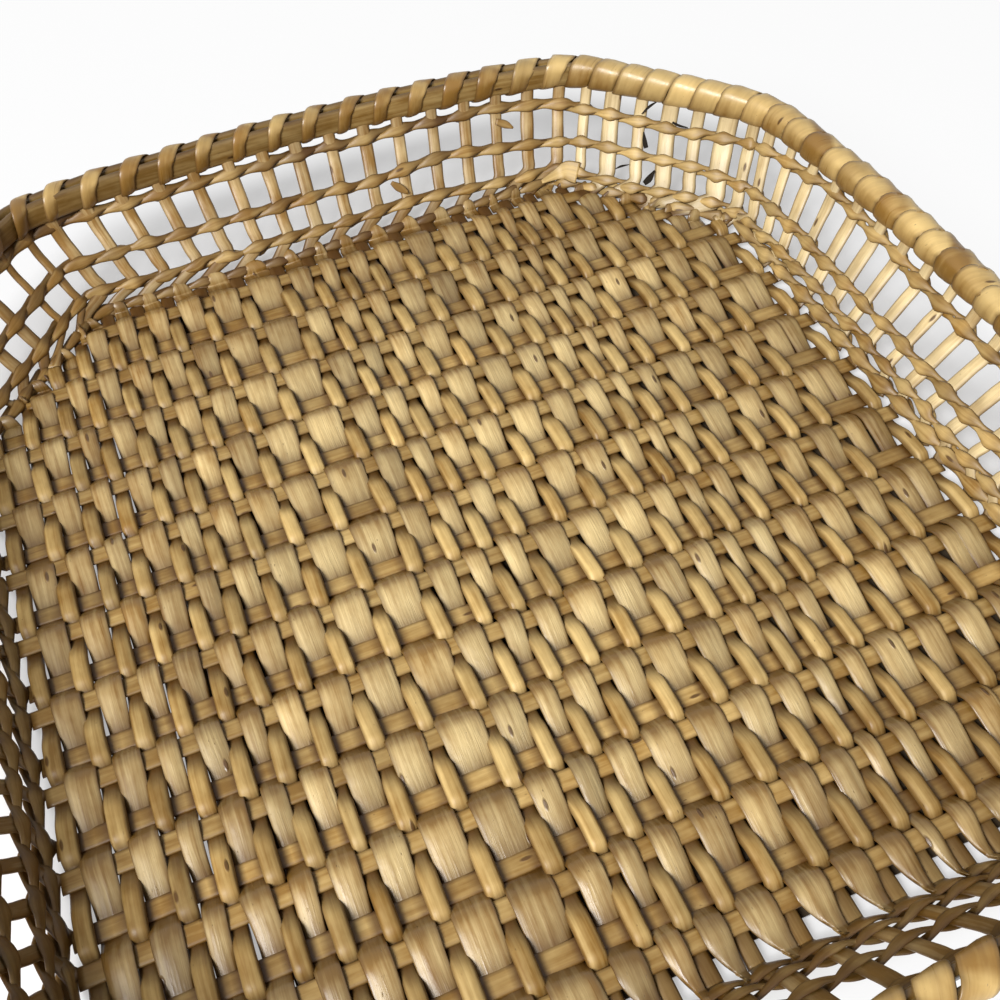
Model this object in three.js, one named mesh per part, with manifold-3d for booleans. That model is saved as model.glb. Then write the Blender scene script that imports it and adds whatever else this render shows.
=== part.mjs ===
// Woven drying basket: a low, wide tray of split willow.
// Units are millimetres, +Z is up and the origin is on the ground under the middle of the base.
// X runs along the wefts and Y along the stakes.

import * as THREE from "three";
import { mergeVertices } from "three/addons/utils/BufferGeometryUtils.js";
import Module from "manifold-3d";

// Base weave
const stakePitch = 16;
const stakeWidth = 6.6;
const stakeThickness = 2.2;
const stakeLift = 3.15;
const splintThickness = 1.2;
const splintLift = 2;
const sideClearance = 0.3;
const weftPairPitch = 32.6;
const weftPairs = 12;
const weftWidth = 7.3;
const weftThickness = 1.6;
const weftEdgeThickness = 0.3;
const centreStakeLift = 1.7;
const runnerFoot = 5;

// Plan of the base
const baseSideMargin = 1.6;
const baseEndRun = 14;
const cornerCutX = 64;
const cornerCutY = 70;
const edgeClearance = 0.3;

// Walls
const uprightWidth = 5.2;
const wallThickness = 3;
const rowWidth = 5;
const wallFoot = 4;
const lowerRowHeight = 12.5;
const middleRowHeight = 23;
const topRowHeight = 37;
const cornerUprights = 8;

// Plan of the rim, measured out from the base
const rimSlot = 5.5;
const rimFlare = 24;
const rimCornerRun = 19;
const sideBow = 10;
const cornerBow = 1;
const cornerRounding = 18;

// Rim
const lathHeight = 10.8;
const lathThickness = 3;
const lathClearance = 0.6;
const tabShortfall = 1;
const lashThickness = 0.8;
const lashRidge = 0.6;
const lashPitch = 15.4;
const lashClearance = 0.4;
const sideSteps = 7;
const cornerSteps = 3;

// Distances between neighbouring narrow stakes, as shares of the stake pitch, from left to right.
// The last one holds two wide splints.
const stakeGapShares = [
  1, 0.98, 0.86, 0.95, 0.87, 0.95, 1.03, 1.15, 1.27, 0.99, 0.87,
  0.92, 1.09, 1.09, 1.04, 0.91, 0.76, 0.84, 1.09, 1.03, 1.03, 1.5,
];
// The second weft of a pair lies this share of the pair's pitch in front of the first.
const pairShare = 0.61;
// A turn of the lashing rises over this share of its width, to where the next one is tucked under.
const lashRiseShare = 0.85;
// On its way from outside to inside a turn runs ahead by this share of its width.
const lashLeadShare = 0.5;

const reed = new THREE.MeshStandardMaterial({ color: 0xb8945a, roughness: 0.55, metalness: 0 });
const splint = new THREE.MeshStandardMaterial({ color: 0xcdb27a, roughness: 0.42, metalness: 0 });
const weftWood = new THREE.MeshStandardMaterial({ color: 0xb39a66, roughness: 0.7, metalness: 0 });
const wallWood = new THREE.MeshStandardMaterial({ color: 0xc2a26a, roughness: 0.6, metalness: 0 });
const lathWood = new THREE.MeshStandardMaterial({ color: 0xa47c45, roughness: 0.5, metalness: 0 });
const lashWood = new THREE.MeshStandardMaterial({ color: 0xbf9550, roughness: 0.4, metalness: 0 });

const basket = new THREE.Group();

function addPiece(name, geometry, material) {
  const mesh = new THREE.Mesh(geometry, material);
  mesh.name = name;
  basket.add(mesh);
}

// A closed geometry from corner points and triangles, with its faces turned outwards.
function solid(points, triangles) {
  let volume = 0;
  for (const [a, b, c] of triangles) {
    volume += points[a].dot(new THREE.Vector3().crossVectors(points[b], points[c]));
  }
  const faces = volume > 0 ? triangles : triangles.map(([a, b, c]) => [a, c, b]);
  const geometry = new THREE.BufferGeometry();
  geometry.setAttribute("position", new THREE.Float32BufferAttribute(points.flatMap((p) => p.toArray()), 3));
  geometry.setIndex(faces.flat());
  return geometry;
}

// A solid through a row of like sections. An open row gets flat ends, a ring closes on itself.
function loft(sections, ring) {
  const count = sections[0].length;
  const triangles = [];
  const steps = ring ? sections.length : sections.length - 1;
  for (let i = 0; i < steps; i += 1) {
    const here = i * count;
    const next = ((i + 1) % sections.length) * count;
    for (let j = 0; j < count; j += 1) {
      const k = (j + 1) % count;
      triangles.push([here + j, here + k, next + k], [here + j, next + k, next + j]);
    }
  }
  if (!ring) {
    const last = (sections.length - 1) * count;
    for (let j = 1; j < count - 1; j += 1) {
      triangles.push([0, j + 1, j], [last, last + j, last + j + 1]);
    }
  }
  return solid(sections.flat(), triangles);
}

// Places of the narrow stakes, centred on the basket.
const stakePlaces = [0];
for (const share of stakeGapShares) {
  stakePlaces.push(stakePlaces.at(-1) + share * stakePitch);
}
const halfStakeSpan = stakePlaces.at(-1) / 2;
const stakes = stakePlaces.map((place) => place - halfStakeSpan);

// Places of the wefts, from the back to the front. The first of each pair is the one that the
// wide splints pass over, and the front row has only that one.
const wefts = [];
for (let pair = 0; pair < weftPairs; pair += 1) {
  const back = ((weftPairs - 1) / 2 - pair) * weftPairPitch;
  wefts.push({ y: back, underSplints: true });
  if (pair < weftPairs - 1) {
    wefts.push({ y: back - pairShare * weftPairPitch, underSplints: false });
  }
}

// The base is a rectangle with cut corners.
const baseHalfX = halfStakeSpan + stakeWidth / 2 + baseSideMargin;
const baseHalfY = wefts[0].y + baseEndRun;

// How far the base reaches from the middle, along the other axis, at a distance across.
function baseReach(across, halfAcross, halfAlong, cutAcross, cutAlong) {
  const pastCut = Math.max(0, Math.abs(across) - (halfAcross - cutAcross));
  return halfAlong - (pastCut / cutAcross) * cutAlong;
}
function reachAlongY(x) {
  return baseReach(x, baseHalfX, baseHalfY, cornerCutX, cornerCutY);
}
function reachAlongX(y) {
  return baseReach(y, baseHalfY, baseHalfX, cornerCutY, cornerCutX);
}

// The middle plane of the wefts. The lowest turns of the narrow stakes touch the ground.
const weavePlane = stakeLift + stakeThickness / 2;

// The path of one stake or splint along Y, over or under each weft that it meets. It is cut at the
// edge of the base, where its ends sink back towards the weave plane. Where foot isn't zero, each
// lowest turn has a flat foot of that length in front of the weft.
function wovenPath(x, width, lift, overFirst, foot) {
  const edge = Math.min(reachAlongY(x - width / 2), reachAlongY(x + width / 2)) - edgeClearance;
  const turns = wefts
    .filter((weft) => Math.abs(weft.y) < edge + weftWidth / 2)
    .map((weft) => ({ y: weft.y, z: weft.underSplints === overFirst ? lift : -lift }));
  const endAt = (y, outer, inner) => {
    if (Math.abs(outer.y) > Math.abs(y)) {
      const share = (y - inner.y) / (outer.y - inner.y);
      return { y, z: inner.z + share * (outer.z - inner.z) };
    }
    return { y, z: outer.z * Math.max(0, 1 - Math.abs(y - outer.y) / baseEndRun) };
  };
  const path = [endAt(edge, turns[0], turns[1])];
  for (const turn of turns.filter(({ y }) => Math.abs(y) < edge)) {
    path.push(turn);
    if (foot > 0 && turn.z < 0) {
      path.push({ y: turn.y - foot, z: turn.z });
    }
  }
  path.push(endAt(-edge, turns.at(-1), turns.at(-2)));
  return path;
}

// A flat splint has a rectangular section.
function splintGeometry(x, width) {
  const across = width / 2;
  const up = splintThickness / 2;
  const sections = wovenPath(x, width, splintLift, true, 0).map(({ y, z }) => [
    new THREE.Vector3(x - across, y, weavePlane + z - up),
    new THREE.Vector3(x + across, y, weavePlane + z - up),
    new THREE.Vector3(x + across, y, weavePlane + z + up),
    new THREE.Vector3(x - across, y, weavePlane + z + up),
  ]);
  return loft(sections, false);
}

// A narrow stake is a split rod, flat below and ridged above.
function stakeGeometry(x, lift, foot) {
  const across = stakeWidth / 2;
  const up = stakeThickness / 2;
  const sections = wovenPath(x, stakeWidth, lift, false, foot).map(({ y, z }) => [
    new THREE.Vector3(x - across, y, weavePlane + z - up),
    new THREE.Vector3(x + across, y, weavePlane + z - up),
    new THREE.Vector3(x, y, weavePlane + z + up),
  ]);
  return loft(sections, false);
}

// A weft is a straight strip with thin edges.
function weftGeometry(y) {
  const reach = Math.min(reachAlongX(y - weftWidth / 2), reachAlongX(y + weftWidth / 2)) - edgeClearance;
  const across = weftWidth / 2;
  const edge = weftEdgeThickness / 2;
  const crown = weftThickness / 2;
  const outline = [[-across, -edge], [0, -crown], [across, -edge], [across, edge], [0, crown], [-across, edge]];
  const sections = [-reach, reach].map((x) =>
    outline.map(([dy, dz]) => new THREE.Vector3(x, y + dy, weavePlane + dz)),
  );
  return loft(sections, false);
}

const wasm = await Module();
wasm.setup();

function toManifold(geometry) {
  const merged = mergeVertices(geometry);
  return new wasm.Manifold(
    new wasm.Mesh({
      numProp: 3,
      vertProperties: new Float32Array(merged.attributes.position.array),
      triVerts: new Uint32Array(merged.index.array),
    }),
  );
}

function fromManifold(body) {
  const mesh = body.getMesh();
  const geometry = new THREE.BufferGeometry();
  geometry.setAttribute("position", new THREE.Float32BufferAttribute(mesh.vertProperties, 3));
  geometry.setIndex(Array.from(mesh.triVerts));
  return geometry;
}

// The wefts are joined by the middle stake, which crosses them all.
const centreIndex = Math.floor(stakes.length / 2);
let grid = toManifold(stakeGeometry(stakes[centreIndex], centreStakeLift, 0));
for (const weft of wefts) {
  grid = grid.add(toManifold(weftGeometry(weft.y)));
}
addPiece("weft_grid", fromManifold(grid), weftWood);

// The other narrow stakes. Those beside the middle one have flat feet, which carry the basket.
let stakeNumber = 0;
stakes.forEach((x, index) => {
  if (index === centreIndex) {
    return;
  }
  stakeNumber += 1;
  const foot = Math.abs(index - centreIndex) === 1 ? runnerFoot : 0;
  addPiece(`narrow_stake_${String(stakeNumber).padStart(2, "0")}`, stakeGeometry(x, stakeLift, foot), reed);
});

// The wide splints fill the gaps between the narrow stakes.
let splintNumber = 0;
stakeGapShares.forEach((share, index) => {
  const gap = stakes[index + 1] - stakes[index] - stakeWidth;
  const count = index === stakeGapShares.length - 1 ? 2 : 1;
  const width = (gap - (count + 1) * sideClearance) / count;
  for (let i = 0; i < count; i += 1) {
    const left = stakes[index] + stakeWidth / 2 + sideClearance + i * (width + sideClearance);
    splintNumber += 1;
    addPiece(`wide_splint_${String(splintNumber).padStart(2, "0")}`, splintGeometry(left + width / 2, width), splint);
  }
});

// Corners of the walls in plan, counterclockwise from the front end of the right side.
function octagon(halfX, halfY, sideHalfY, endHalfX) {
  return [
    new THREE.Vector2(halfX, -sideHalfY), new THREE.Vector2(halfX, sideHalfY),
    new THREE.Vector2(endHalfX, halfY), new THREE.Vector2(-endHalfX, halfY),
    new THREE.Vector2(-halfX, sideHalfY), new THREE.Vector2(-halfX, -sideHalfY),
    new THREE.Vector2(-endHalfX, -halfY), new THREE.Vector2(endHalfX, -halfY),
  ];
}
const footOffset = edgeClearance + wallThickness / 2;
const footX = baseHalfX + footOffset;
const footY = baseHalfY + footOffset;
const footCorners = octagon(footX, footY, baseHalfY - cornerCutY, baseHalfX - cornerCutX);
const rimCorners = octagon(
  footX + rimFlare,
  footY + rimFlare,
  baseHalfY - cornerCutY + rimCornerRun,
  baseHalfX - cornerCutX + rimCornerRun,
);
const wallNames = [
  "wall_right", "corner_back_right", "wall_back", "corner_back_left",
  "wall_left", "corner_front_left", "wall_front", "corner_front_right",
];

function outwardNormal(from, to) {
  const along = to.clone().sub(from).normalize();
  return new THREE.Vector2(along.y, -along.x);
}

// One wall: its foot line, its rim line and how far the rim bows out between its corners.
const walls = wallNames.map((name, index) => {
  const next = (index + 1) % wallNames.length;
  return {
    name,
    foot: [footCorners[index], footCorners[next]],
    footLength: footCorners[index].distanceTo(footCorners[next]),
    rim: [rimCorners[index], rimCorners[next]],
    rimLength: rimCorners[index].distanceTo(rimCorners[next]),
    normal: outwardNormal(rimCorners[index], rimCorners[next]),
    bow: index % 2 === 0 ? sideBow : cornerBow,
  };
});

function bowedPoint(index, share) {
  const { rim, normal, bow } = walls[index];
  return rim[0].clone().lerp(rim[1], share).addScaledVector(normal, bow * (1 - (2 * share - 1) ** 2));
}

// A point of the rim at a share of one wall's length. Near a corner it lies on a rounded curve
// that joins the two walls.
function rimPoint(index, share) {
  const length = walls[index].rimLength;
  const fromCorner = Math.min(share, 1 - share) * length;
  if (fromCorner >= cornerRounding) {
    return bowedPoint(index, share);
  }
  const atStart = share < 0.5;
  const count = walls.length;
  const neighbour = atStart ? (index + count - 1) % count : (index + 1) % count;
  const shareHere = cornerRounding / length;
  const shareThere = cornerRounding / walls[neighbour].rimLength;
  const corner = bowedPoint(index, atStart ? 0 : 1);
  const here = bowedPoint(index, atStart ? shareHere : 1 - shareHere);
  const there = bowedPoint(neighbour, atStart ? 1 - shareThere : shareThere);
  const along = 0.5 + fromCorner / (2 * cornerRounding);
  return there
    .multiplyScalar((1 - along) ** 2)
    .addScaledVector(corner, 2 * along * (1 - along))
    .addScaledVector(here, along ** 2);
}

// The outward direction of the rim at a point, from the places just before and after it.
function rimNormal(index, share) {
  const step = 1 / sideSteps / sideSteps;
  const count = walls.length;
  const before = share - step < 0
    ? rimPoint((index + count - 1) % count, 1 + share - step)
    : rimPoint(index, share - step);
  const after = share + step > 1 ? rimPoint((index + 1) % count, share + step - 1) : rimPoint(index, share + step);
  return outwardNormal(before, after);
}

// A level is a height with the share of the flare that the wall has reached there.
const topOfRows = topRowHeight + rowWidth * 0.5;
const flareRise = topOfRows - wallFoot;
const rimBottom = topOfRows + rimSlot;
const tabTop = rimBottom + lathHeight - tabShortfall;
function level(height) {
  return { z: height, flare: Math.min(1, (height - wallFoot) / flareRise) };
}
const rowHeights = [lowerRowHeight, middleRowHeight, topRowHeight];
const levels = [level(wallFoot)];
for (const height of rowHeights) {
  levels.push(level(height - rowWidth / 2), level(height + rowWidth / 2));
}
levels.push(level(tabTop));
const isRow = (band) => band % 2 === 1;

// How far along the foot of a wall its uprights stand.
function uprightPlaces(wall, index) {
  const length = wall.footLength;
  if (index % 2 === 1) {
    return Array.from({ length: cornerUprights }, (_, i) => ((i + 0.5) / cornerUprights) * length);
  }
  const along = wall.foot[1].clone().sub(wall.foot[0]).divideScalar(length);
  const places = index % 4 === 0
    ? wefts.map((weft) => new THREE.Vector2(wall.foot[0].x, weft.y))
    : stakes.map((x) => new THREE.Vector2(x, wall.foot[0].y));
  return places
    .map((place) => place.sub(wall.foot[0]).dot(along))
    .filter((distance) => distance > uprightWidth && distance < length - uprightWidth)
    .sort((a, b) => a - b);
}

// A wall is one openwork solid. Its cells lie between neighbouring columns and levels, and a
// cell is filled where there is an upright or a twined row.
function wallGeometry(wall, index) {
  const length = wall.footLength;
  const columns = [edgeClearance / 2];
  for (const place of uprightPlaces(wall, index)) {
    columns.push(place - uprightWidth / 2, place + uprightWidth / 2);
  }
  columns.push(length - edgeClearance / 2);
  const points = [];
  for (const column of columns) {
    const share = column / length;
    const foot = wall.foot[0].clone().lerp(wall.foot[1], share);
    const rim = rimPoint(index, share);
    const outward = rimNormal(index, share);
    for (const { z, flare } of levels) {
      const middle = foot.clone().lerp(rim, flare);
      for (const offset of [-wallThickness / 2, wallThickness / 2]) {
        const place = middle.clone().addScaledVector(outward, offset);
        points.push(new THREE.Vector3(place.x, place.y, z));
      }
    }
  }
  const corner = (column, row, face) => (column * levels.length + row) * 2 + face;
  const bands = levels.length - 1;
  const strips = columns.length - 1;
  const filled = (strip, band) =>
    strip >= 0 && strip < strips && band >= 0 && band < bands && (isRow(band) || strip % 2 === 1);
  const triangles = [];
  const quad = (a, b, c, d) => triangles.push([a, b, c], [a, c, d]);
  for (let s = 0; s < strips; s += 1) {
    for (let b = 0; b < bands; b += 1) {
      if (!filled(s, b)) {
        continue;
      }
      quad(corner(s, b, 1), corner(s + 1, b, 1), corner(s + 1, b + 1, 1), corner(s, b + 1, 1));
      quad(corner(s, b, 0), corner(s, b + 1, 0), corner(s + 1, b + 1, 0), corner(s + 1, b, 0));
      if (!filled(s - 1, b)) {
        quad(corner(s, b, 0), corner(s, b, 1), corner(s, b + 1, 1), corner(s, b + 1, 0));
      }
      if (!filled(s + 1, b)) {
        quad(corner(s + 1, b, 1), corner(s + 1, b, 0), corner(s + 1, b + 1, 0), corner(s + 1, b + 1, 1));
      }
      if (!filled(s, b - 1)) {
        quad(corner(s, b, 0), corner(s + 1, b, 0), corner(s + 1, b, 1), corner(s, b, 1));
      }
      if (!filled(s, b + 1)) {
        quad(corner(s, b + 1, 1), corner(s + 1, b + 1, 1), corner(s + 1, b + 1, 0), corner(s, b + 1, 0));
      }
    }
  }
  const used = new Set(triangles.flat());
  const order = [...used].sort((a, b) => a - b);
  const renumbered = new Map(order.map((old, i) => [old, i]));
  return solid(order.map((old) => points[old]), triangles.map((t) => t.map((v) => renumbered.get(v))));
}

walls.forEach((wall, index) => addPiece(wall.name, wallGeometry(wall, index), wallWood));

// A hoop follows the rim, with extra sections round the corners. Its section is given as
// distances out from the middle of the wall and heights.
function hoopGeometry(outline) {
  const sections = [];
  walls.forEach((wall, index) => {
    const rounding = cornerRounding / wall.rimLength;
    const steps = index % 2 === 0 ? sideSteps : cornerSteps;
    const shares = [0, rounding / 2];
    for (let i = 0; i <= steps; i += 1) {
      shares.push(rounding + (i / steps) * (1 - 2 * rounding));
    }
    shares.push(1 - rounding / 2);
    for (const share of shares) {
      const middle = rimPoint(index, share);
      const outward = rimNormal(index, share);
      sections.push(
        outline.map(([out, z]) => {
          const place = middle.clone().addScaledVector(outward, out);
          return new THREE.Vector3(place.x, place.y, z);
        }),
      );
    }
  });
  return loft(sections, true);
}

const lathInside = wallThickness / 2 + lathClearance;
const lathOutside = lathInside + lathThickness;
const lathTop = rimBottom + lathHeight;
function lathOutline(side) {
  return [
    [side * lathInside, rimBottom], [side * lathOutside, rimBottom],
    [side * lathOutside, lathTop], [side * lathInside, lathTop],
  ];
}
addPiece("rim_inner_lath", hoopGeometry(lathOutline(-1)), lathWood);
addPiece("rim_outer_lath", hoopGeometry(lathOutline(1)), lathWood);

// The middle of the rim and its outward direction, at a distance gone round it.
const rimRound = walls.reduce((sum, wall) => sum + wall.rimLength, 0);
function rimPlace(distance) {
  let rest = distance % rimRound;
  let index = 0;
  while (rest >= walls[index].rimLength) {
    rest -= walls[index].rimLength;
    index += 1;
  }
  const share = rest / walls[index].rimLength;
  return { middle: rimPoint(index, share), outward: rimNormal(index, share) };
}

// The lashing winds round both laths and is open below, where the uprights come through. Its turns
// are slanted and each one rises towards the next, like shingles.
function lashGeometry() {
  const turns = Math.round(rimRound / lashPitch);
  const pitch = rimRound / turns;
  const inside = lathOutside + lashClearance;
  const under = lathTop + lashClearance;
  const sections = [];
  for (let turn = 0; turn < turns; turn += 1) {
    for (const [step, ridge] of [[0, 0], [lashRiseShare, lashRidge]]) {
      const outside = inside + lashThickness + ridge;
      const over = under + lashThickness + ridge;
      const outline = [
        [outside, rimBottom, 0], [outside, over, 1 / 3], [-outside, over, 2 / 3], [-outside, rimBottom, 1],
        [-inside, rimBottom, 1], [-inside, under, 2 / 3], [inside, under, 1 / 3], [inside, rimBottom, 0],
      ];
      sections.push(
        outline.map(([out, z, wound]) => {
          const { middle, outward } = rimPlace((turn + step + wound * lashLeadShare) * pitch);
          middle.addScaledVector(outward, out);
          return new THREE.Vector3(middle.x, middle.y, z);
        }),
      );
    }
  }
  return loft(sections, true);
}
addPiece("rim_lashing", lashGeometry(), lashWood);

export default basket;
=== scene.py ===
import bpy
import numpy as np
from mathutils import Matrix, Vector


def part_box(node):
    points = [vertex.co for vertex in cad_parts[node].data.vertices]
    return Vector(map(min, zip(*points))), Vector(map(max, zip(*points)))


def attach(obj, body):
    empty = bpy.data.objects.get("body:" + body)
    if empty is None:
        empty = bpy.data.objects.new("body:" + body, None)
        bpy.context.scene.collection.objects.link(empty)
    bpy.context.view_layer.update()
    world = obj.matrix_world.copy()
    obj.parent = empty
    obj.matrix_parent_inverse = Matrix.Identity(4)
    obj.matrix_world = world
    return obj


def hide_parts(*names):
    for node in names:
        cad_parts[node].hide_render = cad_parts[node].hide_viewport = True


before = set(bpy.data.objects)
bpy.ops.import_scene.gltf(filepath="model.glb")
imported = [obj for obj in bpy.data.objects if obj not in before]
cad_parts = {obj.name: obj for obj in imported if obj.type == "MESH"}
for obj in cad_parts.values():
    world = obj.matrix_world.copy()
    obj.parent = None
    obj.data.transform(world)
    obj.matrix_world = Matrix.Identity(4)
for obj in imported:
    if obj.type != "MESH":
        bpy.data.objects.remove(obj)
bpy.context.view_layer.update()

# Camera. It stands off the basket's front left corner and looks steeply down into the tray, so
# that the back right corner of the rim comes near the top of the picture.
CAMERA_PLACE = Vector((-0.0923, -0.2735, 0.3734))
CAMERA_LOOK = Vector((0.2162, 0.5936, -0.7752))
CAMERA_UP = Vector((0.3214, 0.7064, 0.6306))
CAMERA_LENS_MM = 41.9
CAMERA_CLIP_START = 0.01

camera = bpy.data.objects.new("camera", bpy.data.cameras.new("camera"))
bpy.context.scene.collection.objects.link(camera)
bpy.context.scene.camera = camera
look = CAMERA_LOOK.normalized()
right = look.cross(CAMERA_UP).normalized()
turn = Matrix((right, right.cross(look), -look)).transposed()
camera.matrix_world = Matrix.Translation(CAMERA_PLACE) @ turn.to_4x4()
camera.data.lens = CAMERA_LENS_MM
camera.data.clip_start = CAMERA_CLIP_START


# Wefts. Flat peeled splints, laid in pairs straight across the base. At both sides they bend up
# and run on as uprights of the walls, up to the rim. The lines of the base, of the walls and of
# the rim come first, because every splint follows them.
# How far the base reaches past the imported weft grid
EDGE_MARGIN = 0.0003
PAIR_PITCH = 0.0326
PAIR_SHARE = 0.61
PAIR_COUNT = 12
WEAVE_HEIGHT = 0.00425
WEFT_STEP = 0.0008
CORNER_CUT = np.array([0.064, 0.070])
FOOT_OFFSET = 0.0018
FOOT_HEIGHT = 0.004
RIM_LINE_HEIGHT = 0.0465
RIM_FLARE = 0.024
RIM_CORNER_RUN = 0.019
SIDE_BOW = 0.010
CORNER_BOW = 0.001
CORNER_ROUNDING = 0.018
WALL_COUNT = 8
WEFT_WIDTH = 0.0079
WEFT_THICKNESS = 0.0015
STATION_STEP = 0.0013

base_half = np.array(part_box("weft_grid")[1])[:2] + EDGE_MARGIN
foot_half = base_half + FOOT_OFFSET
cut_half = base_half - CORNER_CUT
weft_places = []
for pair in range(PAIR_COUNT):
    back = ((PAIR_COUNT - 1) / 2 - pair) * PAIR_PITCH
    weft_places.append((back, True))
    if pair < PAIR_COUNT - 1:
        weft_places.append((back - PAIR_SHARE * PAIR_PITCH, False))


def eight_corners(half, cut):
    """Corners of an outline with cut corners, counterclockwise from the front of the right side."""
    first = [(half[0], -cut[1]), (half[0], cut[1]), (cut[0], half[1]), (-cut[0], half[1])]
    return np.array(first + [(-x, -y) for x, y in first])


foot_corners = eight_corners(foot_half, cut_half)
rim_corners = eight_corners(foot_half + RIM_FLARE, cut_half + RIM_CORNER_RUN)


def corner(corners, index):
    return corners[index % WALL_COUNT]


def wall_way(corners, wall):
    """Direction along a wall, its outward direction and its length."""
    way = corner(corners, wall + 1) - corner(corners, wall)
    length = np.linalg.norm(way)
    way = way / length
    return way, np.array([way[1], -way[0]]), length


def bowed_point(wall, share):
    way, outward, length = wall_way(rim_corners, wall)
    bow = SIDE_BOW if wall % 2 == 0 else CORNER_BOW
    return corner(rim_corners, wall) + way * length * share + outward * bow * (1 - (2 * share - 1) ** 2)


def rim_point(wall, share):
    """A point in plan on the middle line of the rim, rounded near the corners."""
    length = wall_way(rim_corners, wall)[2]
    from_corner = min(share, 1 - share) * length
    if from_corner >= CORNER_ROUNDING:
        return bowed_point(wall, share)
    at_start = share < 0.5
    neighbour = wall - 1 if at_start else wall + 1
    here = CORNER_ROUNDING / length
    there = CORNER_ROUNDING / wall_way(rim_corners, neighbour)[2]
    middle = bowed_point(wall, 0 if at_start else 1)
    start = bowed_point(neighbour, 1 - there if at_start else there)
    end = bowed_point(wall, here if at_start else 1 - here)
    along = 0.5 + from_corner / (2 * CORNER_ROUNDING)
    return start * (1 - along) ** 2 + middle * 2 * along * (1 - along) + end * along ** 2


# How far to either side a wall's direction is taken, as a share of the wall
NEARBY_SHARE = 0.02


def wall_frame(wall, share, height):
    """A point of a wall's middle surface, with its directions along, up and in."""
    place = corner(foot_corners, wall) * (1 - share) + corner(foot_corners, wall + 1) * share
    rim = rim_point(wall, share)
    flare = np.clip((height - FOOT_HEIGHT) / (RIM_LINE_HEIGHT - FOOT_HEIGHT), 0, 1)
    here = np.append(place + (rim - place) * flare, height)
    along = rim_point(wall, min(1, share + NEARBY_SHARE)) - rim_point(wall, max(0, share - NEARBY_SHARE))
    along = np.append(along / np.linalg.norm(along), 0)
    up = np.append((rim - place) * (flare < 1), RIM_LINE_HEIGHT - FOOT_HEIGHT)
    up = up / np.linalg.norm(up)
    return here, along, up, np.cross(up, along)


def ring_frame(at, height):
    """The same for a number of walls gone round, from the front of the right side."""
    wall = int(np.floor(at))
    return wall_frame(wall % WALL_COUNT, at - wall, height)


def between_walls(values, at):
    """A value given for the middle of each wall, changed smoothly from wall to wall."""
    low = int(np.floor(at - 0.5))
    part = at - 0.5 - low
    part = part * part * (3 - 2 * part)
    return values[low % WALL_COUNT] * (1 - part) + values[(low + 1) % WALL_COUNT] * part


def reach_of(across, axis, half_width):
    """How far the base reaches along the other axis, at a distance across from its middle."""
    past = max(0, abs(across) + half_width - cut_half[axis])
    return base_half[1 - axis] - past / CORNER_CUT[axis] * CORNER_CUT[1 - axis]


def wall_end(axis, across, sign):
    """The wall that a splint's end meets, and where along its foot, as a share."""
    tip = np.empty(2)
    tip[axis] = across
    tip[1 - axis] = sign * reach_of(across, axis, 0)
    if abs(across) < cut_half[axis] - WEFT_WIDTH:
        wall = {(0, 1): 2, (0, -1): 6, (1, 1): 0, (1, -1): 4}[axis, sign]
    else:
        wall = {(1, 1): 1, (-1, 1): 3, (-1, -1): 5, (1, -1): 7}[tuple(np.sign(tip).astype(int))]
    way, _, length = wall_way(foot_corners, wall)
    return wall, float(np.dot(tip - corner(foot_corners, wall), way) / length)


# Steps from one chosen row of a line to the next
CURVE_STEPS = 16


def smooth_line(corners, step, ring=False):
    """A smooth line through chosen rows of numbers, of which the first three are its place."""
    rows = np.asarray(corners, float)
    if ring:
        rows = np.vstack([rows[-1:], rows, rows[:2]])
    else:
        rows = np.vstack([2 * rows[:1] - rows[1:2], rows, 2 * rows[-1:] - rows[-2:-1]])
    share = np.linspace(0, 1, CURVE_STEPS, endpoint=False)[:, None]
    parts = []
    for a, b, c, d in zip(rows, rows[1:], rows[2:], rows[3:]):
        bend = (2 * a - 5 * b + 4 * c - d) * share ** 2 + (3 * b - a - 3 * c + d) * share ** 3
        parts.append(0.5 * (2 * b + (c - a) * share + bend))
    line = np.vstack(parts + [rows[-2:-1]])
    run = np.append(0, np.cumsum(np.linalg.norm(np.diff(line[:, :3], axis=0), axis=1)))
    count = max(3, round(run[-1] / step) + 1)
    even = np.linspace(0, run[-1], count)
    line = np.stack([np.interp(even, run, column) for column in line.T], axis=1)
    return line[:-1] if ring else line


def drift(rng, count, spacing, width=1):
    """Smooth random numbers of about unit size along a splint, one column for each width."""
    knots = rng.normal(size=(count // spacing + 3, width))
    at = np.arange(count) / spacing
    low = at.astype(int)
    part = (at - low)[:, None]
    part = part * part * (3 - 2 * part)
    return knots[low] * (1 - part) + knots[low + 1] * part


# Columns of a row that describes one station of a splint
X, Y, Z, SIDE_X, SIDE_Y = range(5)
PLACE = slice(0, 3)
SIDE = slice(3, 6)
# The last column darkens a station: dirt and stains, and painted shade where parts cover it
LEFT, RIGHT, THICK, CROWN, LEAN, TONE, SKIN, DIRT_AND_SHADE = range(6, 14)
COLUMNS = DIRT_AND_SHADE + 1


def station(place, side, width, thick, crown=0.0, lean=0.0, tone=0.0, skin=0.5, dirt_and_shade=0.0):
    half = width / 2
    return np.concatenate([place, side, [half, half, thick, crown, lean, tone, skin, dirt_and_shade]])


# How square the edges of a section are, and how a split rod differs from a flat splint
EDGE_ROUNDNESS = 0.72
ROD_ROUNDNESS = 0.9
ROD_UNDERSIDE_SHARE = 0.25
ROD_TOP_SHARE = 1.1


def flat_section(points, roundness):
    """Section of a flat splint, from -1 to 1 across and from -0.5 to 0.5 in thickness."""
    angle = np.linspace(0, 2 * np.pi, points, endpoint=False)
    across = -np.cos(angle)
    high = np.sin(angle)
    return (
        np.sign(across) * np.abs(across) ** EDGE_ROUNDNESS,
        0.5 * np.sign(high) * np.abs(high) ** roundness,
    )


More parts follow.
